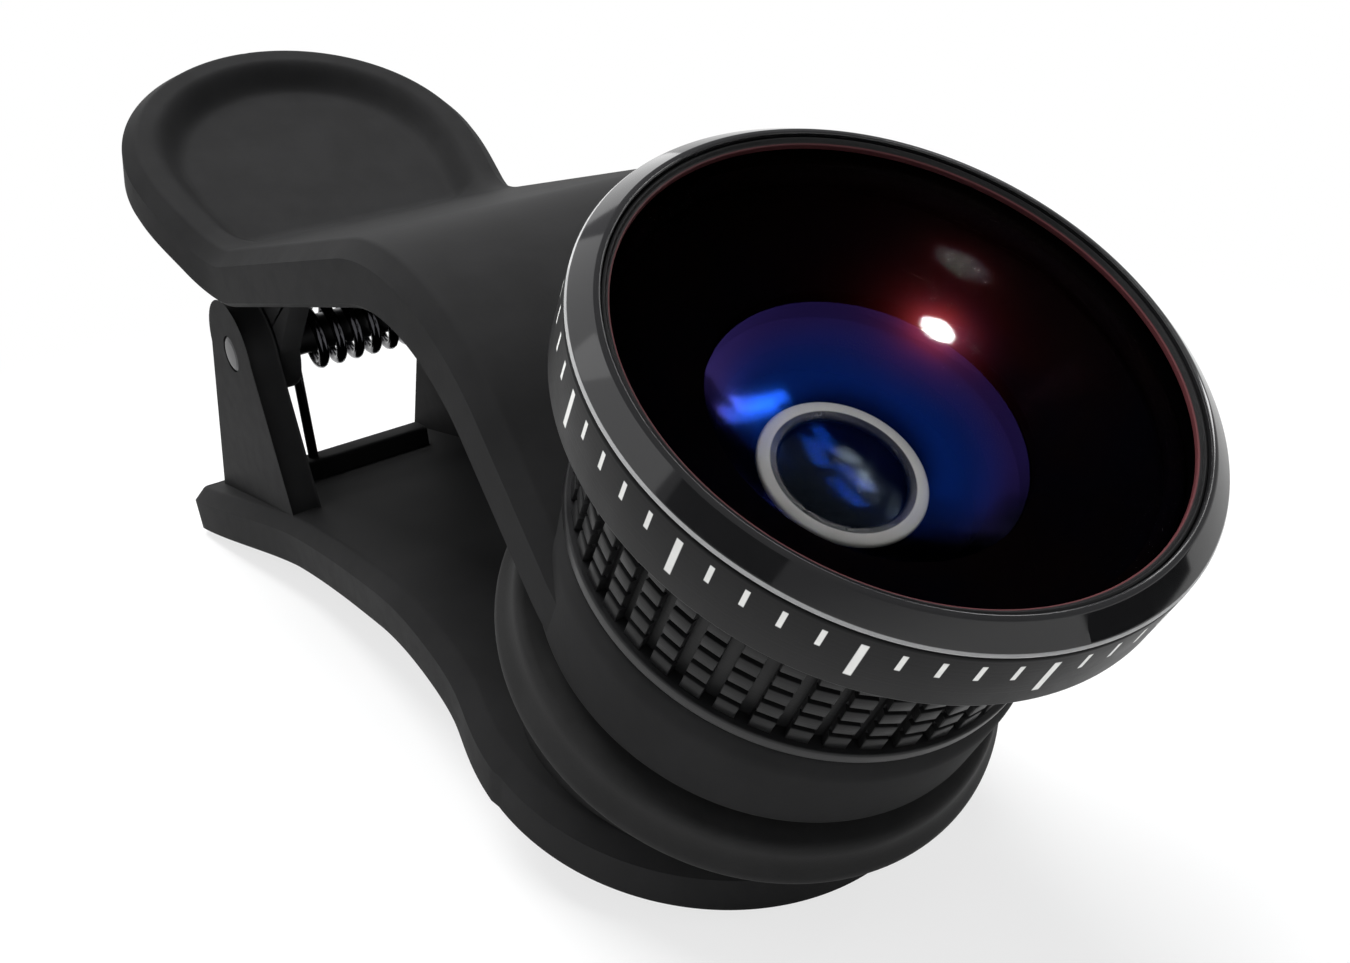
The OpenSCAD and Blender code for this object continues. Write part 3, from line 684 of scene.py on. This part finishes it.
glass("front_glass", cap(26, 11.0, 17.1, 1) + [(11.3, 17.1), (11.3, 16.22)]
      + cap(30, 10.5, 16.22, 1)[::-1], "lens", "clear_glass", ["front_element"], 160)
turned("inner_cone_black", [
    (11.3, 14.27), (11.3, 15.4), (10.52, 15.4), (6.6, 13.5), (6.6, 13.0), (7.1, 13.0), (8.8, 14.27)],
    "lens", "inner_black", 0.05, ["inner_cone"])
glass("second_glass_coated", cap(13.0, 6.54, 12.98, -1) + cap(13.86, 6.54, 12.1, -1)[::-1], "lens",
      "coated_glass", ["second_element"])
turned("pale_ring_cream", [(2.72, 9.95), (3.6, 9.95), (3.6, 10.25), (2.72, 10.25)], "lens",
       "pale_plastic", 0.14, ["pale_ring"])
film_piece = glass("front_glass_film", cap(26.03, 10.9, 17.17, 1) + cap(26.01, 10.9, 17.15, 1)[::-1],
                   "lens", "clear_glass", [], 160)

# %% [markdown]
# ## Helpers for finishes
# A finish is a Principled shader whose colour, roughness and normal vary a little over the surface. The
# helpers below put nodes into a tree in one line each.

# %% Node helpers
def put(tree, kind, inputs=None, **settings):
    """A shader node with its settings, and each input linked to a socket or set to a constant."""
    node = tree.nodes.new("ShaderNode" + kind)
    for key, value in settings.items():
        setattr(node, key, value)
    for key, value in (inputs or {}).items():
        if isinstance(value, bpy.types.NodeSocket):
            tree.links.new(value, node.inputs[key])
        else:
            node.inputs[key].default_value = value
    return node


def calc(tree, operation, *values):
    return put(tree, "Math", dict(enumerate(values)), operation=operation).outputs[0]


def spread(tree, value, low, high, to_low=0.0, to_high=1.0, kind="SMOOTHSTEP"):
    """A value moved from one range to another, with soft ends."""
    return put(tree, "MapRange", {0: value, 1: low, 2: high, 3: to_low, 4: to_high},
               interpolation_type=kind).outputs[0]


def tint(tree, factor, first, second):
    """One colour at 0 and another at 1, each a socket or a constant."""
    node = put(tree, "Mix", {0: factor}, data_type="RGBA")
    for socket, colour in ((node.inputs[6], first), (node.inputs[7], second)):
        if isinstance(colour, bpy.types.NodeSocket):
            tree.links.new(colour, socket)
        else:
            socket.default_value = (*colour, 1)
    return node.outputs[2]


def own_place(tree):
    """A piece's own coordinates: as a vector, as X, Y and Z, and as the distance from its Z axis."""
    place = put(tree, "TexCoord").outputs["Object"]
    parts = put(tree, "SeparateXYZ", {0: place}).outputs
    squares = [calc(tree, "MULTIPLY", parts[i], parts[i]) for i in (0, 1)]
    return place, parts, calc(tree, "SQRT", calc(tree, "ADD", *squares))


def seeing_ray(tree):
    """1 for rays from the camera, mirrors and clear glass, 0 for scattered light."""
    rays = put(tree, "LightPath").outputs
    straight = calc(tree, "MAXIMUM", rays["Is Camera Ray"], rays["Is Glossy Ray"])
    return calc(tree, "MAXIMUM", straight, rays["Is Transmission Ray"])


def new_group(name, inputs, outputs):
    """A shader node group with float or colour inputs, and its two end nodes."""
    tree = bpy.data.node_groups.new(name, "ShaderNodeTree")
    for title, value in inputs.items():
        is_colour = isinstance(value, tuple)
        kind = "NodeSocketColor" if is_colour else "NodeSocketFloat"
        socket = tree.interface.new_socket(title, in_out="INPUT", socket_type=kind)
        socket.default_value = (*value, 1) if is_colour else value
    for title, kind in outputs.items():
        tree.interface.new_socket(title, in_out="OUTPUT", socket_type="NodeSocket" + kind)
    ends = tree.nodes.new("NodeGroupInput").outputs, tree.nodes.new("NodeGroupOutput").inputs
    return tree, *ends


def use(tree, group_tree, **values):
    """A group's outputs. An underscore in a name stands for a space in the input's title."""
    node = tree.nodes.new("ShaderNodeGroup")
    node.node_tree = group_tree
    for title, value in values.items():
        socket = node.inputs[title.replace("_", " ")]
        socket.default_value = (*value, 1) if isinstance(value, tuple) else value
    return node.outputs


# %% [markdown]
# ## Shared effects
# What several finishes share is a node group: the grain of a mould with faint mottling, raised edges
# that wear smooth, the fine lines of a lathe, and the colours of a coated glass from middle to rim,
# with painted shade that darkens one side of the glass.

# %% Shared effects
tree, given, out = new_group("moulded_grain", {"Scale": 4000.0}, {"Height": "Float", "Mottle": "Float"})
place = put(tree, "TexCoord").outputs["Object"]
scale = given["Scale"]
fine = put(tree, "TexNoise", {"Vector": place, "Scale": scale, "Detail": 3.0, "Roughness": 0.6})
slow = calc(tree, "MULTIPLY", scale, 0.06)
broad = put(tree, "TexNoise", {"Vector": place, "Scale": slow, "Detail": 4.0, "Roughness": 0.65})
tree.links.new(fine.outputs[0], out["Height"])
tree.links.new(spread(tree, broad.outputs[0], 0.3, 0.7), out["Mottle"])
grain_tree = tree

tree, given, out = new_group("polished_edges", {"Reach": 0.06, "Scale": 900.0}, {"Mask": "Float"})
place = put(tree, "TexCoord").outputs["Object"]
raised = put(tree, "NewGeometry").outputs["Pointiness"]
edge = spread(tree, raised, 0.5, calc(tree, "ADD", 0.5, given["Reach"]))
patchy = put(tree, "TexNoise", {"Vector": place, "Scale": given["Scale"], "Detail": 3.0}).outputs[0]
worn = calc(tree, "MULTIPLY", edge, spread(tree, patchy, 0.25, 0.7))
tree.links.new(worn, out["Mask"])
edge_tree = tree

tree, given, out = new_group("lathe_lines", {"Lines": 6000.0}, {"Height": "Float"})
_, parts, from_axis = own_place(tree)
run = calc(tree, "MULTIPLY", calc(tree, "ADD", from_axis, parts[2]), given["Lines"])
uneven = put(tree, "TexNoise", {"W": run, "Scale": 1.0, "Detail": 2.0}, noise_dimensions="1D")
tree.links.new(uneven.outputs[0], out["Height"])
lathe_tree = tree

tree, given, out = new_group(
    "coated_sheen_painted_shade", {"Radius": 0.0065, "Lit Side": 1.9, "Middle": (0.03, 0.1, 0.8),
                     "Rim": (0.12, 0.05, 0.35), "Shade": (0.002, 0.003, 0.012)},
    {"Colour": "Color", "Reach": "Float"})
place, parts, from_axis = own_place(tree)
reach = calc(tree, "DIVIDE", from_axis, given["Radius"])
# Painted shade: a mask across the piece, from the side given by Lit Side, darkens the other side to the
# Shade colour.
lit_x = calc(tree, "MULTIPLY", parts[0], calc(tree, "COSINE", given["Lit Side"]))
lit_y = calc(tree, "MULTIPLY", parts[1], calc(tree, "SINE", given["Lit Side"]))
across = calc(tree, "DIVIDE", calc(tree, "ADD", lit_x, lit_y), given["Radius"])
cloud = put(tree, "TexNoise", {"Vector": place, "Scale": 260.0, "Detail": 2.0}).outputs[0]
side = calc(tree, "ADD", across, spread(tree, cloud, 0.3, 0.7, -0.2, 0.2))
lit = spread(tree, side, -0.75, 0.1)
ringed = tint(tree, spread(tree, reach, 0.6, 0.95), given["Middle"], given["Rim"])
tree.links.new(tint(tree, lit, given["Shade"], ringed), out["Colour"])
tree.links.new(reach, out["Reach"])
coat_and_painted_shade_tree = tree
print("groups:", [g.name for g in bpy.data.node_groups])

# %% [markdown]
# ## Plastic, rubber and metal
# The clip is moulded in black plastic with a fine satin grain, and its edges are a little smoother. The
# pads are duller rubber. The barrel is black anodised metal with lathe lines, the pin bare steel, the
# spring black oiled wire and the thread insert brass. All take the same groups with their own values.

# %% Solid finishes
BUMP_DEPTH = 0.00005


def finish_of(name, **sockets):
    """A material with some Principled inputs set, its tree and its shader."""
    material = bpy.data.materials.new(name)
    material.use_nodes = True
    principled = material.node_tree.nodes["Principled BSDF"]
    for title, value in sockets.items():
        socket = principled.inputs[title.replace("_", " ")]
        socket.default_value = (*value, 1) if isinstance(value, tuple) else value
    return material, material.node_tree, principled


def solid(name, dark, light, rough, grain=4000.0, depth=0.1, lines=0.0, edge_gain=0.12, shine=0.5,
          **sockets):
    """A grained finish: two close colours, a range of roughness, a bump, and smoother edges."""
    material, tree, shader = finish_of(name, Specular_IOR_Level=shine, **sockets)
    surface = use(tree, grain_tree, Scale=grain)
    edge_mask = use(tree, edge_tree)["Mask"]
    tree.links.new(tint(tree, surface["Mottle"], dark, light), shader.inputs["Base Color"])
    even = spread(tree, surface["Mottle"], 0.0, 1.0, rough[0], rough[1], "LINEAR")
    smoother = calc(tree, "MULTIPLY", edge_mask, edge_gain)
    tree.links.new(calc(tree, "SUBTRACT", even, smoother), shader.inputs["Roughness"])
    height = surface["Height"]
    if lines:
        height = calc(tree, "ADD", height, use(tree, lathe_tree, Lines=lines)["Height"])
    bump = put(tree, "Bump", {"Strength": depth, "Distance": BUMP_DEPTH, "Height": height})
    tree.links.new(bump.outputs[0], shader.inputs["Normal"])
    print("finish", name)
    return material


satin = solid("satin_black_plastic", (0.017, 0.017, 0.0172), (0.02, 0.02, 0.0203), (0.53, 0.57),
    grain=5500.0, depth=0.14, edge_gain=0.06, shine=0.015)
rubber = solid("dull_black_rubber", (0.016, 0.016, 0.016), (0.02, 0.02, 0.02), (0.55, 0.62),
    grain=7000.0, depth=0.2, edge_gain=0.06, shine=0.1)
steel = solid("bare_pin_steel", (0.065, 0.065, 0.067), (0.09, 0.09, 0.092), (0.36, 0.46),
    grain=3000.0, depth=0.05, lines=9000.0, Metallic=1.0)
wire = solid("oiled_spring_wire", (0.03, 0.03, 0.033), (0.06, 0.06, 0.066), (0.16, 0.26),
    grain=4000.0, depth=0.08, Metallic=1.0)
anodised = solid("anodised_black", (0.008, 0.008, 0.0083), (0.011, 0.011, 0.0113), (0.4, 0.48),
    grain=8000.0, depth=0.08, lines=9000.0, shine=0.14)
dead = solid("dead_black_inside", (0.0003, 0.0003, 0.0007), (0.0008, 0.0004, 0.0004), (0.75, 0.9),
    grain=3000.0, depth=0.1, shine=0.0)
brass = solid("turned_brass", (0.5, 0.36, 0.14), (0.58, 0.43, 0.19), (0.25, 0.36),
    grain=3000.0, depth=0.05, lines=7000.0, Metallic=1.0)

# %% [markdown]
# ## Rings with two tones and a painted highlight
# Some turned pieces change their finish at an edge: the bezel has a painted highlight, a thin bright
# line at its foot, the keeper ring a faint red inner lip, the barrel a dead black cup and the cream
# ring a dark inner wall. A mask over the piece's own radius and height picks each place.

# %% Two-tone rings
def recolour(material, mask, colour):
    """Lay another colour over a finish where a mask is 1."""
    tree = material.node_tree
    socket = tree.nodes["Principled BSDF"].inputs["Base Color"]
    tree.links.new(tint(tree, mask, socket.links[0].from_socket, colour), socket)


polished = solid("polished_black_bezel", (0.008, 0.008, 0.0085), (0.01, 0.01, 0.0105), (0.06, 0.09),
    grain=2500.0, depth=0.004, lines=3000.0, shine=0.5)
tree = polished.node_tree
_, parts, from_axis = own_place(tree)
# Painted highlight: a thin light grey line at the bezel's foot, standing for an edge that catches the
# light.
painted_highlight_line = calc(tree, "MULTIPLY", spread(tree, from_axis, 0.01241, 0.01243),
                  spread(tree, parts[2], 0.01685, 0.01688))
recolour(polished, painted_highlight_line, (0.3, 0.3, 0.3))

dull_ring = solid("dull_keeper_ring", (0.006, 0.006, 0.0063), (0.009, 0.009, 0.0093), (0.42, 0.5),
    grain=6000.0, depth=0.05, lines=9000.0, shine=0.2)
tree = dull_ring.node_tree
_, _, from_axis = own_place(tree)
recolour(dull_ring, spread(tree, from_axis, 0.01108, 0.01104), (0.07, 0.02, 0.022))

BARREL_SHINE = 0.24
bored = solid("barrel_with_black_bore", (0.009, 0.009, 0.0095), (0.013, 0.013, 0.0135), (0.36, 0.44),
    grain=8000.0, depth=0.08, lines=9000.0, shine=BARREL_SHINE)
tree = bored.node_tree
_, parts, from_axis = own_place(tree)
bore = calc(tree, "MULTIPLY", spread(tree, from_axis, 0.01144, 0.0114),
            spread(tree, parts[2], 0.01395, 0.01405))
recolour(bored, bore, (0.0004, 0.0003, 0.0004))
tree.links.new(spread(tree, bore, 0.0, 1.0, BARREL_SHINE, 0.0),
               tree.nodes["Principled BSDF"].inputs["Specular IOR Level"])

cream = solid("cream_ring", (0.93, 0.91, 0.83), (0.97, 0.95, 0.89), (0.3, 0.4),
    grain=3000.0, depth=0.05)
tree = cream.node_tree
_, _, from_axis = own_place(tree)
recolour(cream, spread(tree, from_axis, 0.0031, 0.00302), (0.01, 0.012, 0.02))
print("two-tone rings done")

# %% [markdown]
# ## The printed band
# The band is the same black metal with a plain printed scale: a short white tick every six degrees and
# a long one every thirty. The ticks are paint, so they are a mask over the colour. The angle round the
# lens and the height along it come from the piece's own coordinates.

# %% Band
TICK_BLUR = 0.00003
TICK_TOP, SHORT_FOOT, LONG_FOOT = 0.01634, 0.01552, 0.01462


def tick_mask(tree, turn, height, count, width, low, high):
    """1 on count equal ticks round the band, of a width in turns, between two heights."""
    part = calc(tree, "FRACT", calc(tree, "MULTIPLY", turn, float(count)))
    off = calc(tree, "ABSOLUTE", calc(tree, "SUBTRACT", part, 0.5))
    half = width * count / 2
    inside = calc(tree, "MULTIPLY", spread(tree, height, low - TICK_BLUR, low + TICK_BLUR),
                  spread(tree, height, high + TICK_BLUR, high - TICK_BLUR))
    return calc(tree, "MULTIPLY", spread(tree, off, half * 1.15, half * 0.85), inside)


band_paint = solid("printed_band", (0.009, 0.009, 0.0093), (0.011, 0.011, 0.0113), (0.4, 0.46),
    grain=8000.0, depth=0.06, lines=9000.0, shine=0.1)
tree = band_paint.node_tree
_, parts, _ = own_place(tree)
angle = calc(tree, "ARCTAN2", parts[1], parts[0])
turn = calc(tree, "ADD", calc(tree, "DIVIDE", angle, 2 * pi), 1.0)
ticks = calc(tree, "MAXIMUM", tick_mask(tree, turn, parts[2], 60, 0.0024, SHORT_FOOT, TICK_TOP),
             tick_mask(tree, turn, parts[2], 12, 0.0034, LONG_FOOT, TICK_TOP))
recolour(band_paint, ticks, (0.68, 0.68, 0.66))
print("band printed")

# %% [markdown]
# ## Glass
# A coated lens looks black, with a coloured sheen where it mirrors light. The front glass is clear with
# hardly any mirroring, and lets shadow rays straight through to what lies under it. The film over it is
# nearly invisible, but spreads the bright flare lamp into a red glow. The bowl and the small glasses
# mirror in blue and violet, and the bowl's middle is thin enough to see the cream ring beneath. The
# film, the bowl and the small glasses also carry painted shade: one side of each turns to a darker
# colour.

# %% Glass finishes
clear, tree, shader = finish_of("clear_front_glass", Roughness=0.0, IOR=1.006, Transmission_Weight=1.0)
shade_ray = put(tree, "LightPath").outputs["Is Shadow Ray"]
tree.links.new(calc(tree, "SUBTRACT", 1.0, shade_ray), shader.inputs["Alpha"])
smear = use(tree, grain_tree, Scale=900.0)["Mottle"]
tree.links.new(tint(tree, smear, (0.97, 0.98, 1.0), (1.0, 1.0, 1.0)), shader.inputs["Base Color"])



def coated(name, sockets, **sheen):
    """A mirroring finish in a coating's colours with painted shade on one side, with its tree, shader
    and reach.
    """
    material, tree, shader = finish_of(name, Metallic=1.0, **sockets)
    glow = use(tree, coat_and_painted_shade_tree, **sheen)
    tree.links.new(glow["Colour"], shader.inputs["Base Color"])
    return material, tree, shader, glow["Reach"]


film_look = dict(Roughness=0.22, Alpha=0.0003, Coat_Weight=1.0, Coat_Roughness=0.04, Coat_IOR=3.0)
# Painted shade: the film is red on the side given by Lit Side and dark navy on the other.
film = coated("red_flare_film", film_look, Radius=0.0105, Lit_Side=2.2, Middle=(0.34, 0.025, 0.03),
    Rim=(0.2, 0.05, 0.03), Shade=(0.02, 0.02, 0.1))[0]
# Painted shade: the bowl's blue and violet turn near black on the side away from Lit Side.
violet, tree, shader, reach = coated("violet_coated_bowl", dict(Roughness=0.09), Radius=0.0065,
    Lit_Side=2.44, Middle=(0.012, 0.11, 0.85), Rim=(0.05, 0.03, 0.2))
coating = calc(tree, "ADD", spread(tree, reach, 0.4, 0.58, 0.01, 0.14),
               spread(tree, reach, 0.7, 0.95, 0.0, 0.3))
tree.links.new(coating, shader.inputs["Alpha"])
# The small glass takes the same painted shade, here only a little darker than its rim.
small_glass = coated("blue_small_glass", dict(Roughness=0.14), Radius=0.0029,
    Middle=(0.004, 0.012, 0.035), Rim=(0.01, 0.014, 0.02), Shade=(0.012, 0.016, 0.02))[0]
print("glass finishes done")

# %% [markdown]
# ## Paint the pieces
# Every CAD node and new piece carries the name of a material slot, so one table gives most finishes. A
# second one names the few pieces that differ.

# %% Paint
by_slot = {"clip_plastic": satin, "pad_rubber": rubber, "pin_steel": steel, "spring_steel": wire,
           "barrel_black": anodised, "band_grey": band_paint, "bezel_black": polished,
           "clear_glass": clear, "coated_glass": violet, "inner_black": dead, "pale_plastic": cream,
           "insert_brass": brass}
own_finish = {"third_element": small_glass, "fourth_element": small_glass, "front_glass_film": film,
              "front_seal": dead, "lens_barrel_black": bored, "front_retaining_ring_black": dull_ring}
slot_of = {s["node"]: s["material_slot"] for s in frame["record"]["subparts"]}


def paint(obj, slot):
    obj.data.materials.clear()
    obj.data.materials.append(own_finish.get(obj.name, by_slot[slot]))


for name, node in frame["nodes"].items():
    paint(node, slot_of[name])
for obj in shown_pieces():
    if "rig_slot" in obj:
        paint(obj, obj["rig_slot"])

# %% [markdown]
# ## Floor and surroundings
# The floor is pale and keeps a soft shadow. Away from the object it fades into plain white. Rays from
# the camera, and those that mirror or pass through, see the same white horizon under a darker ceiling,
# which is what gives black plastic its gradients.

# %% Stage
FLOOR_REACH, FLOOR_DROP = 2.0, 0.0001
FADE_START, FADE_END, WHITE_NEAR = 0.03, 0.09, 0.75
corners = [(x * FLOOR_REACH, y * FLOOR_REACH, 0) for x, y in ((-1, -1), (1, -1), (1, 1), (-1, 1))]
floor_mesh = bpy.data.meshes.new("floor")
floor_mesh.from_pydata(corners, [], [(0, 1, 2, 3)])
floor = stand_in("floor", floor_mesh)
floor.location.z = -FLOOR_DROP
floor_paint, tree, shader = finish_of("pale_floor", Roughness=0.7, Specular_IOR_Level=0.1)
speckle = use(tree, grain_tree, Scale=800.0)["Mottle"]
tree.links.new(tint(tree, speckle, (0.82, 0.82, 0.82), (0.85, 0.85, 0.85)), shader.inputs["Base Color"])
place = put(tree, "TexCoord").outputs["Object"]
away = put(tree, "VectorMath", {0: place}, operation="LENGTH").outputs["Value"]
fade = spread(tree, away, FADE_START, FADE_END, WHITE_NEAR, 1.0)
white_share = calc(tree, "MULTIPLY", seeing_ray(tree), fade)
white = put(tree, "Emission", {"Color": (1, 1, 1, 1), "Strength": 1.0})
mix = put(tree, "MixShader", {0: white_share, 1: shader.outputs[0], 2: white.outputs[0]})
tree.links.new(mix.outputs[0], tree.nodes["Material Output"].inputs["Surface"])
floor_mesh.materials.append(floor_paint)

HORIZON_LOW, HORIZON_HIGH, FILL = 0.15, 0.55, 0.32
world = bpy.data.worlds.new("studio")
bpy.context.scene.world = world
world.use_nodes = True
tree = world.node_tree
direction = put(tree, "TexCoord").outputs["Generated"]
upward = put(tree, "SeparateXYZ", {0: direction}).outputs[2]
ceiling = spread(tree, upward, HORIZON_LOW, HORIZON_HIGH)
horizon = tint(tree, ceiling, (1, 1, 1), (0.34, 0.34, 0.35))
seen = put(tree, "Background", {"Color": horizon, "Strength": 1.0})
fill = put(tree, "Background", {"Color": (0.95, 0.97, 1, 1), "Strength": FILL})
mix = put(tree, "MixShader", {0: seeing_ray(tree), 1: fill.outputs[0], 2: seen.outputs[0]})
tree.links.new(mix.outputs[0], tree.nodes["World Output"].inputs[0])
print("floor and world made")

# %% [markdown]
# ## Lamps
# A large softbox overhead lights the clip and isn't mirrored. Three more stand at the front, the left
# and the rear for the chamfers and the bezel, and two of these only show in mirrors. A long thin lamp
# draws the streak in the bowl, and two small panes show in the small glass. The last two shine on the
# film of the front glass alone, by light linking, and make the flare and a faint disc. Each lamp is
# given by its direction and by how bright its face looks, from which its power follows.

# %% Lamps
LAMP_AWAY = 0.35
centre = (cad_box[0] + cad_box[1]) / 2
on_glass = seat + axis * 19.5 * MM


def stand_at(target, azimuth, elevation, distance):
    """The place at a distance from a target, in a direction given in degrees."""
    a, e = radians(azimuth), radians(elevation)
    toward = Vector((cos(e) * cos(a), cos(e) * sin(a), sin(e)))
    return Vector(target) + distance * toward


def lamp(name, azimuth, elevation, distance, size, brightness, target=centre, shape="RECTANGLE", roll=0,
         seen=True, lights=True):
    """An area lamp. seen says whether mirrors show it, and lights whether it lights dull surfaces."""
    place = stand_at(target, azimuth, elevation, distance)
    data = bpy.data.lights.new(name, "AREA")
    data.shape = shape
    data.size, data.size_y = size
    face = size[0] * size[1] * (pi / 4 if shape == "DISK" else 1)
    data.energy = brightness * pi * face
    obj = stand_in(name, data)
    obj.location = place
    facing = (Vector(target) - place).to_track_quat("-Z", "Y").to_matrix()
    obj.rotation_euler = (facing @ Matrix.Rotation(radians(roll), 3, "Z")).to_euler()
    obj.visible_diffuse = lights
    obj.visible_glossy = obj.visible_transmission = seen
    print(name, "stands at", [round(c, 3) for c in place], "with", round(data.energy, 3), "W")
    return obj


lamp("top_softbox", 180, 72, 0.4, (0.3, 0.3), 13, seen=False)
lamp("front_softbox", -100, 50, 0.3, (0.22, 0.17), 1.0)
lamp("left_softbox", -158, 50, 0.35, (0.26, 0.22), 0.9, lights=False)
lamp("rear_softbox", 165, 25, 0.4, (0.24, 0.16), 1.2, lights=False)
lamp("streak_lamp", 77, 31, LAMP_AWAY, (0.14, 0.018), 8, on_glass, roll=-44)
for number, azimuth in enumerate((80, 97)):
    lamp("window_pane_%d" % number, azimuth, 46, LAMP_AWAY, (0.05, 0.025), 14, on_glass,
         lights=False)
film_only = bpy.data.collections.new("film_only")
film_only.objects.link(film_piece)
film_lamps = (("flare_lamp", 82.5, 50, 0.034, 10000), ("disc_lamp", 103, 35, 0.05, 220))
for name, azimuth, elevation, width, brightness in film_lamps:
    flare = lamp(name, azimuth, elevation, LAMP_AWAY, (width, width), brightness, on_glass,
                 "DISK", lights=False)
    flare.light_linking.receiver_collection = film_only

# %% [markdown]
# ## Black cards
# A photographer holds black cards beside a polished ring, so that it mirrors a crisp dark patch and
# its curve reads. These two are seen by mirrored rays only, and take no light from the scene.

# %% Cards
card_finish = solid("black_card", (0.002, 0.002, 0.002), (0.003, 0.003, 0.003), (0.8, 0.9),
    shine=0.0)


def card(name, azimuth, elevation, distance, size, roll, target):
    place = stand_at(target, azimuth, elevation, distance)
    w, h = size[0] / 2, size[1] / 2
    mesh = bpy.data.meshes.new(name)
    mesh.from_pydata([(-w, -h, 0), (w, -h, 0), (w, h, 0), (-w, h, 0)], [], [(0, 1, 2, 3)])
    mesh.materials.append(card_finish)
    obj = stand_in(name, mesh)
    turn_to = (Vector(target) - place).to_track_quat("-Z", "Y").to_matrix().to_4x4()
    turn_to = turn_to @ Matrix.Rotation(radians(roll), 4, "Z")
    obj.matrix_world = Matrix.Translation(place) @ turn_to
    obj.visible_camera = obj.visible_diffuse = obj.visible_shadow = obj.visible_transmission = False
    print(name, "stands at", [round(c, 3) for c in place])


card("front_card", -54, 40, 0.3, (0.16, 0.07), -30, on_glass)
card("right_card", 45, -2, 0.15, (0.09, 0.04), 0, on_glass)

# %% [markdown]
# ## Camera
# The camera stands where the photograph's did, worked out from the ellipses of the lens and the places
# of the hinge, and looks along the same line with the same angle of view.

# %% Camera
GLASS_HEIGHT, FOCAL, SENSOR, NEAR = 17.5, 37.333, 36, 0.001
glass_mid = seat + axis * GLASS_HEIGHT * MM
camera_data = bpy.data.cameras.new("camera")
camera_data.lens, camera_data.sensor_width = FOCAL, SENSOR
camera_data.clip_start = NEAR
camera = stand_in("camera", camera_data)
right, down = Vector((0.5853, 0.8070, -0.0721)), Vector((0.2989, -0.2980, -0.9061))
ahead = Vector((-0.7534, 0.5093, -0.4160))
facing = Matrix((right, -down, -ahead)).transposed().to_4x4()
from_glass = Vector((33.92, -33.59, 16.87)) * MM
camera.matrix_world = Matrix.Translation(glass_mid + from_glass) @ facing
bpy.context.scene.camera = camera
bpy.context.scene.view_settings.view_transform = "Standard"
print("camera at", [round(c, 4) for c in camera.matrix_world.translation])

# %% [markdown]
# ## Sizes
# The box of the CAD part is printed.

# %% Sizes
print("CAD box", [round(c, 4) for v in cad_box for c in v])
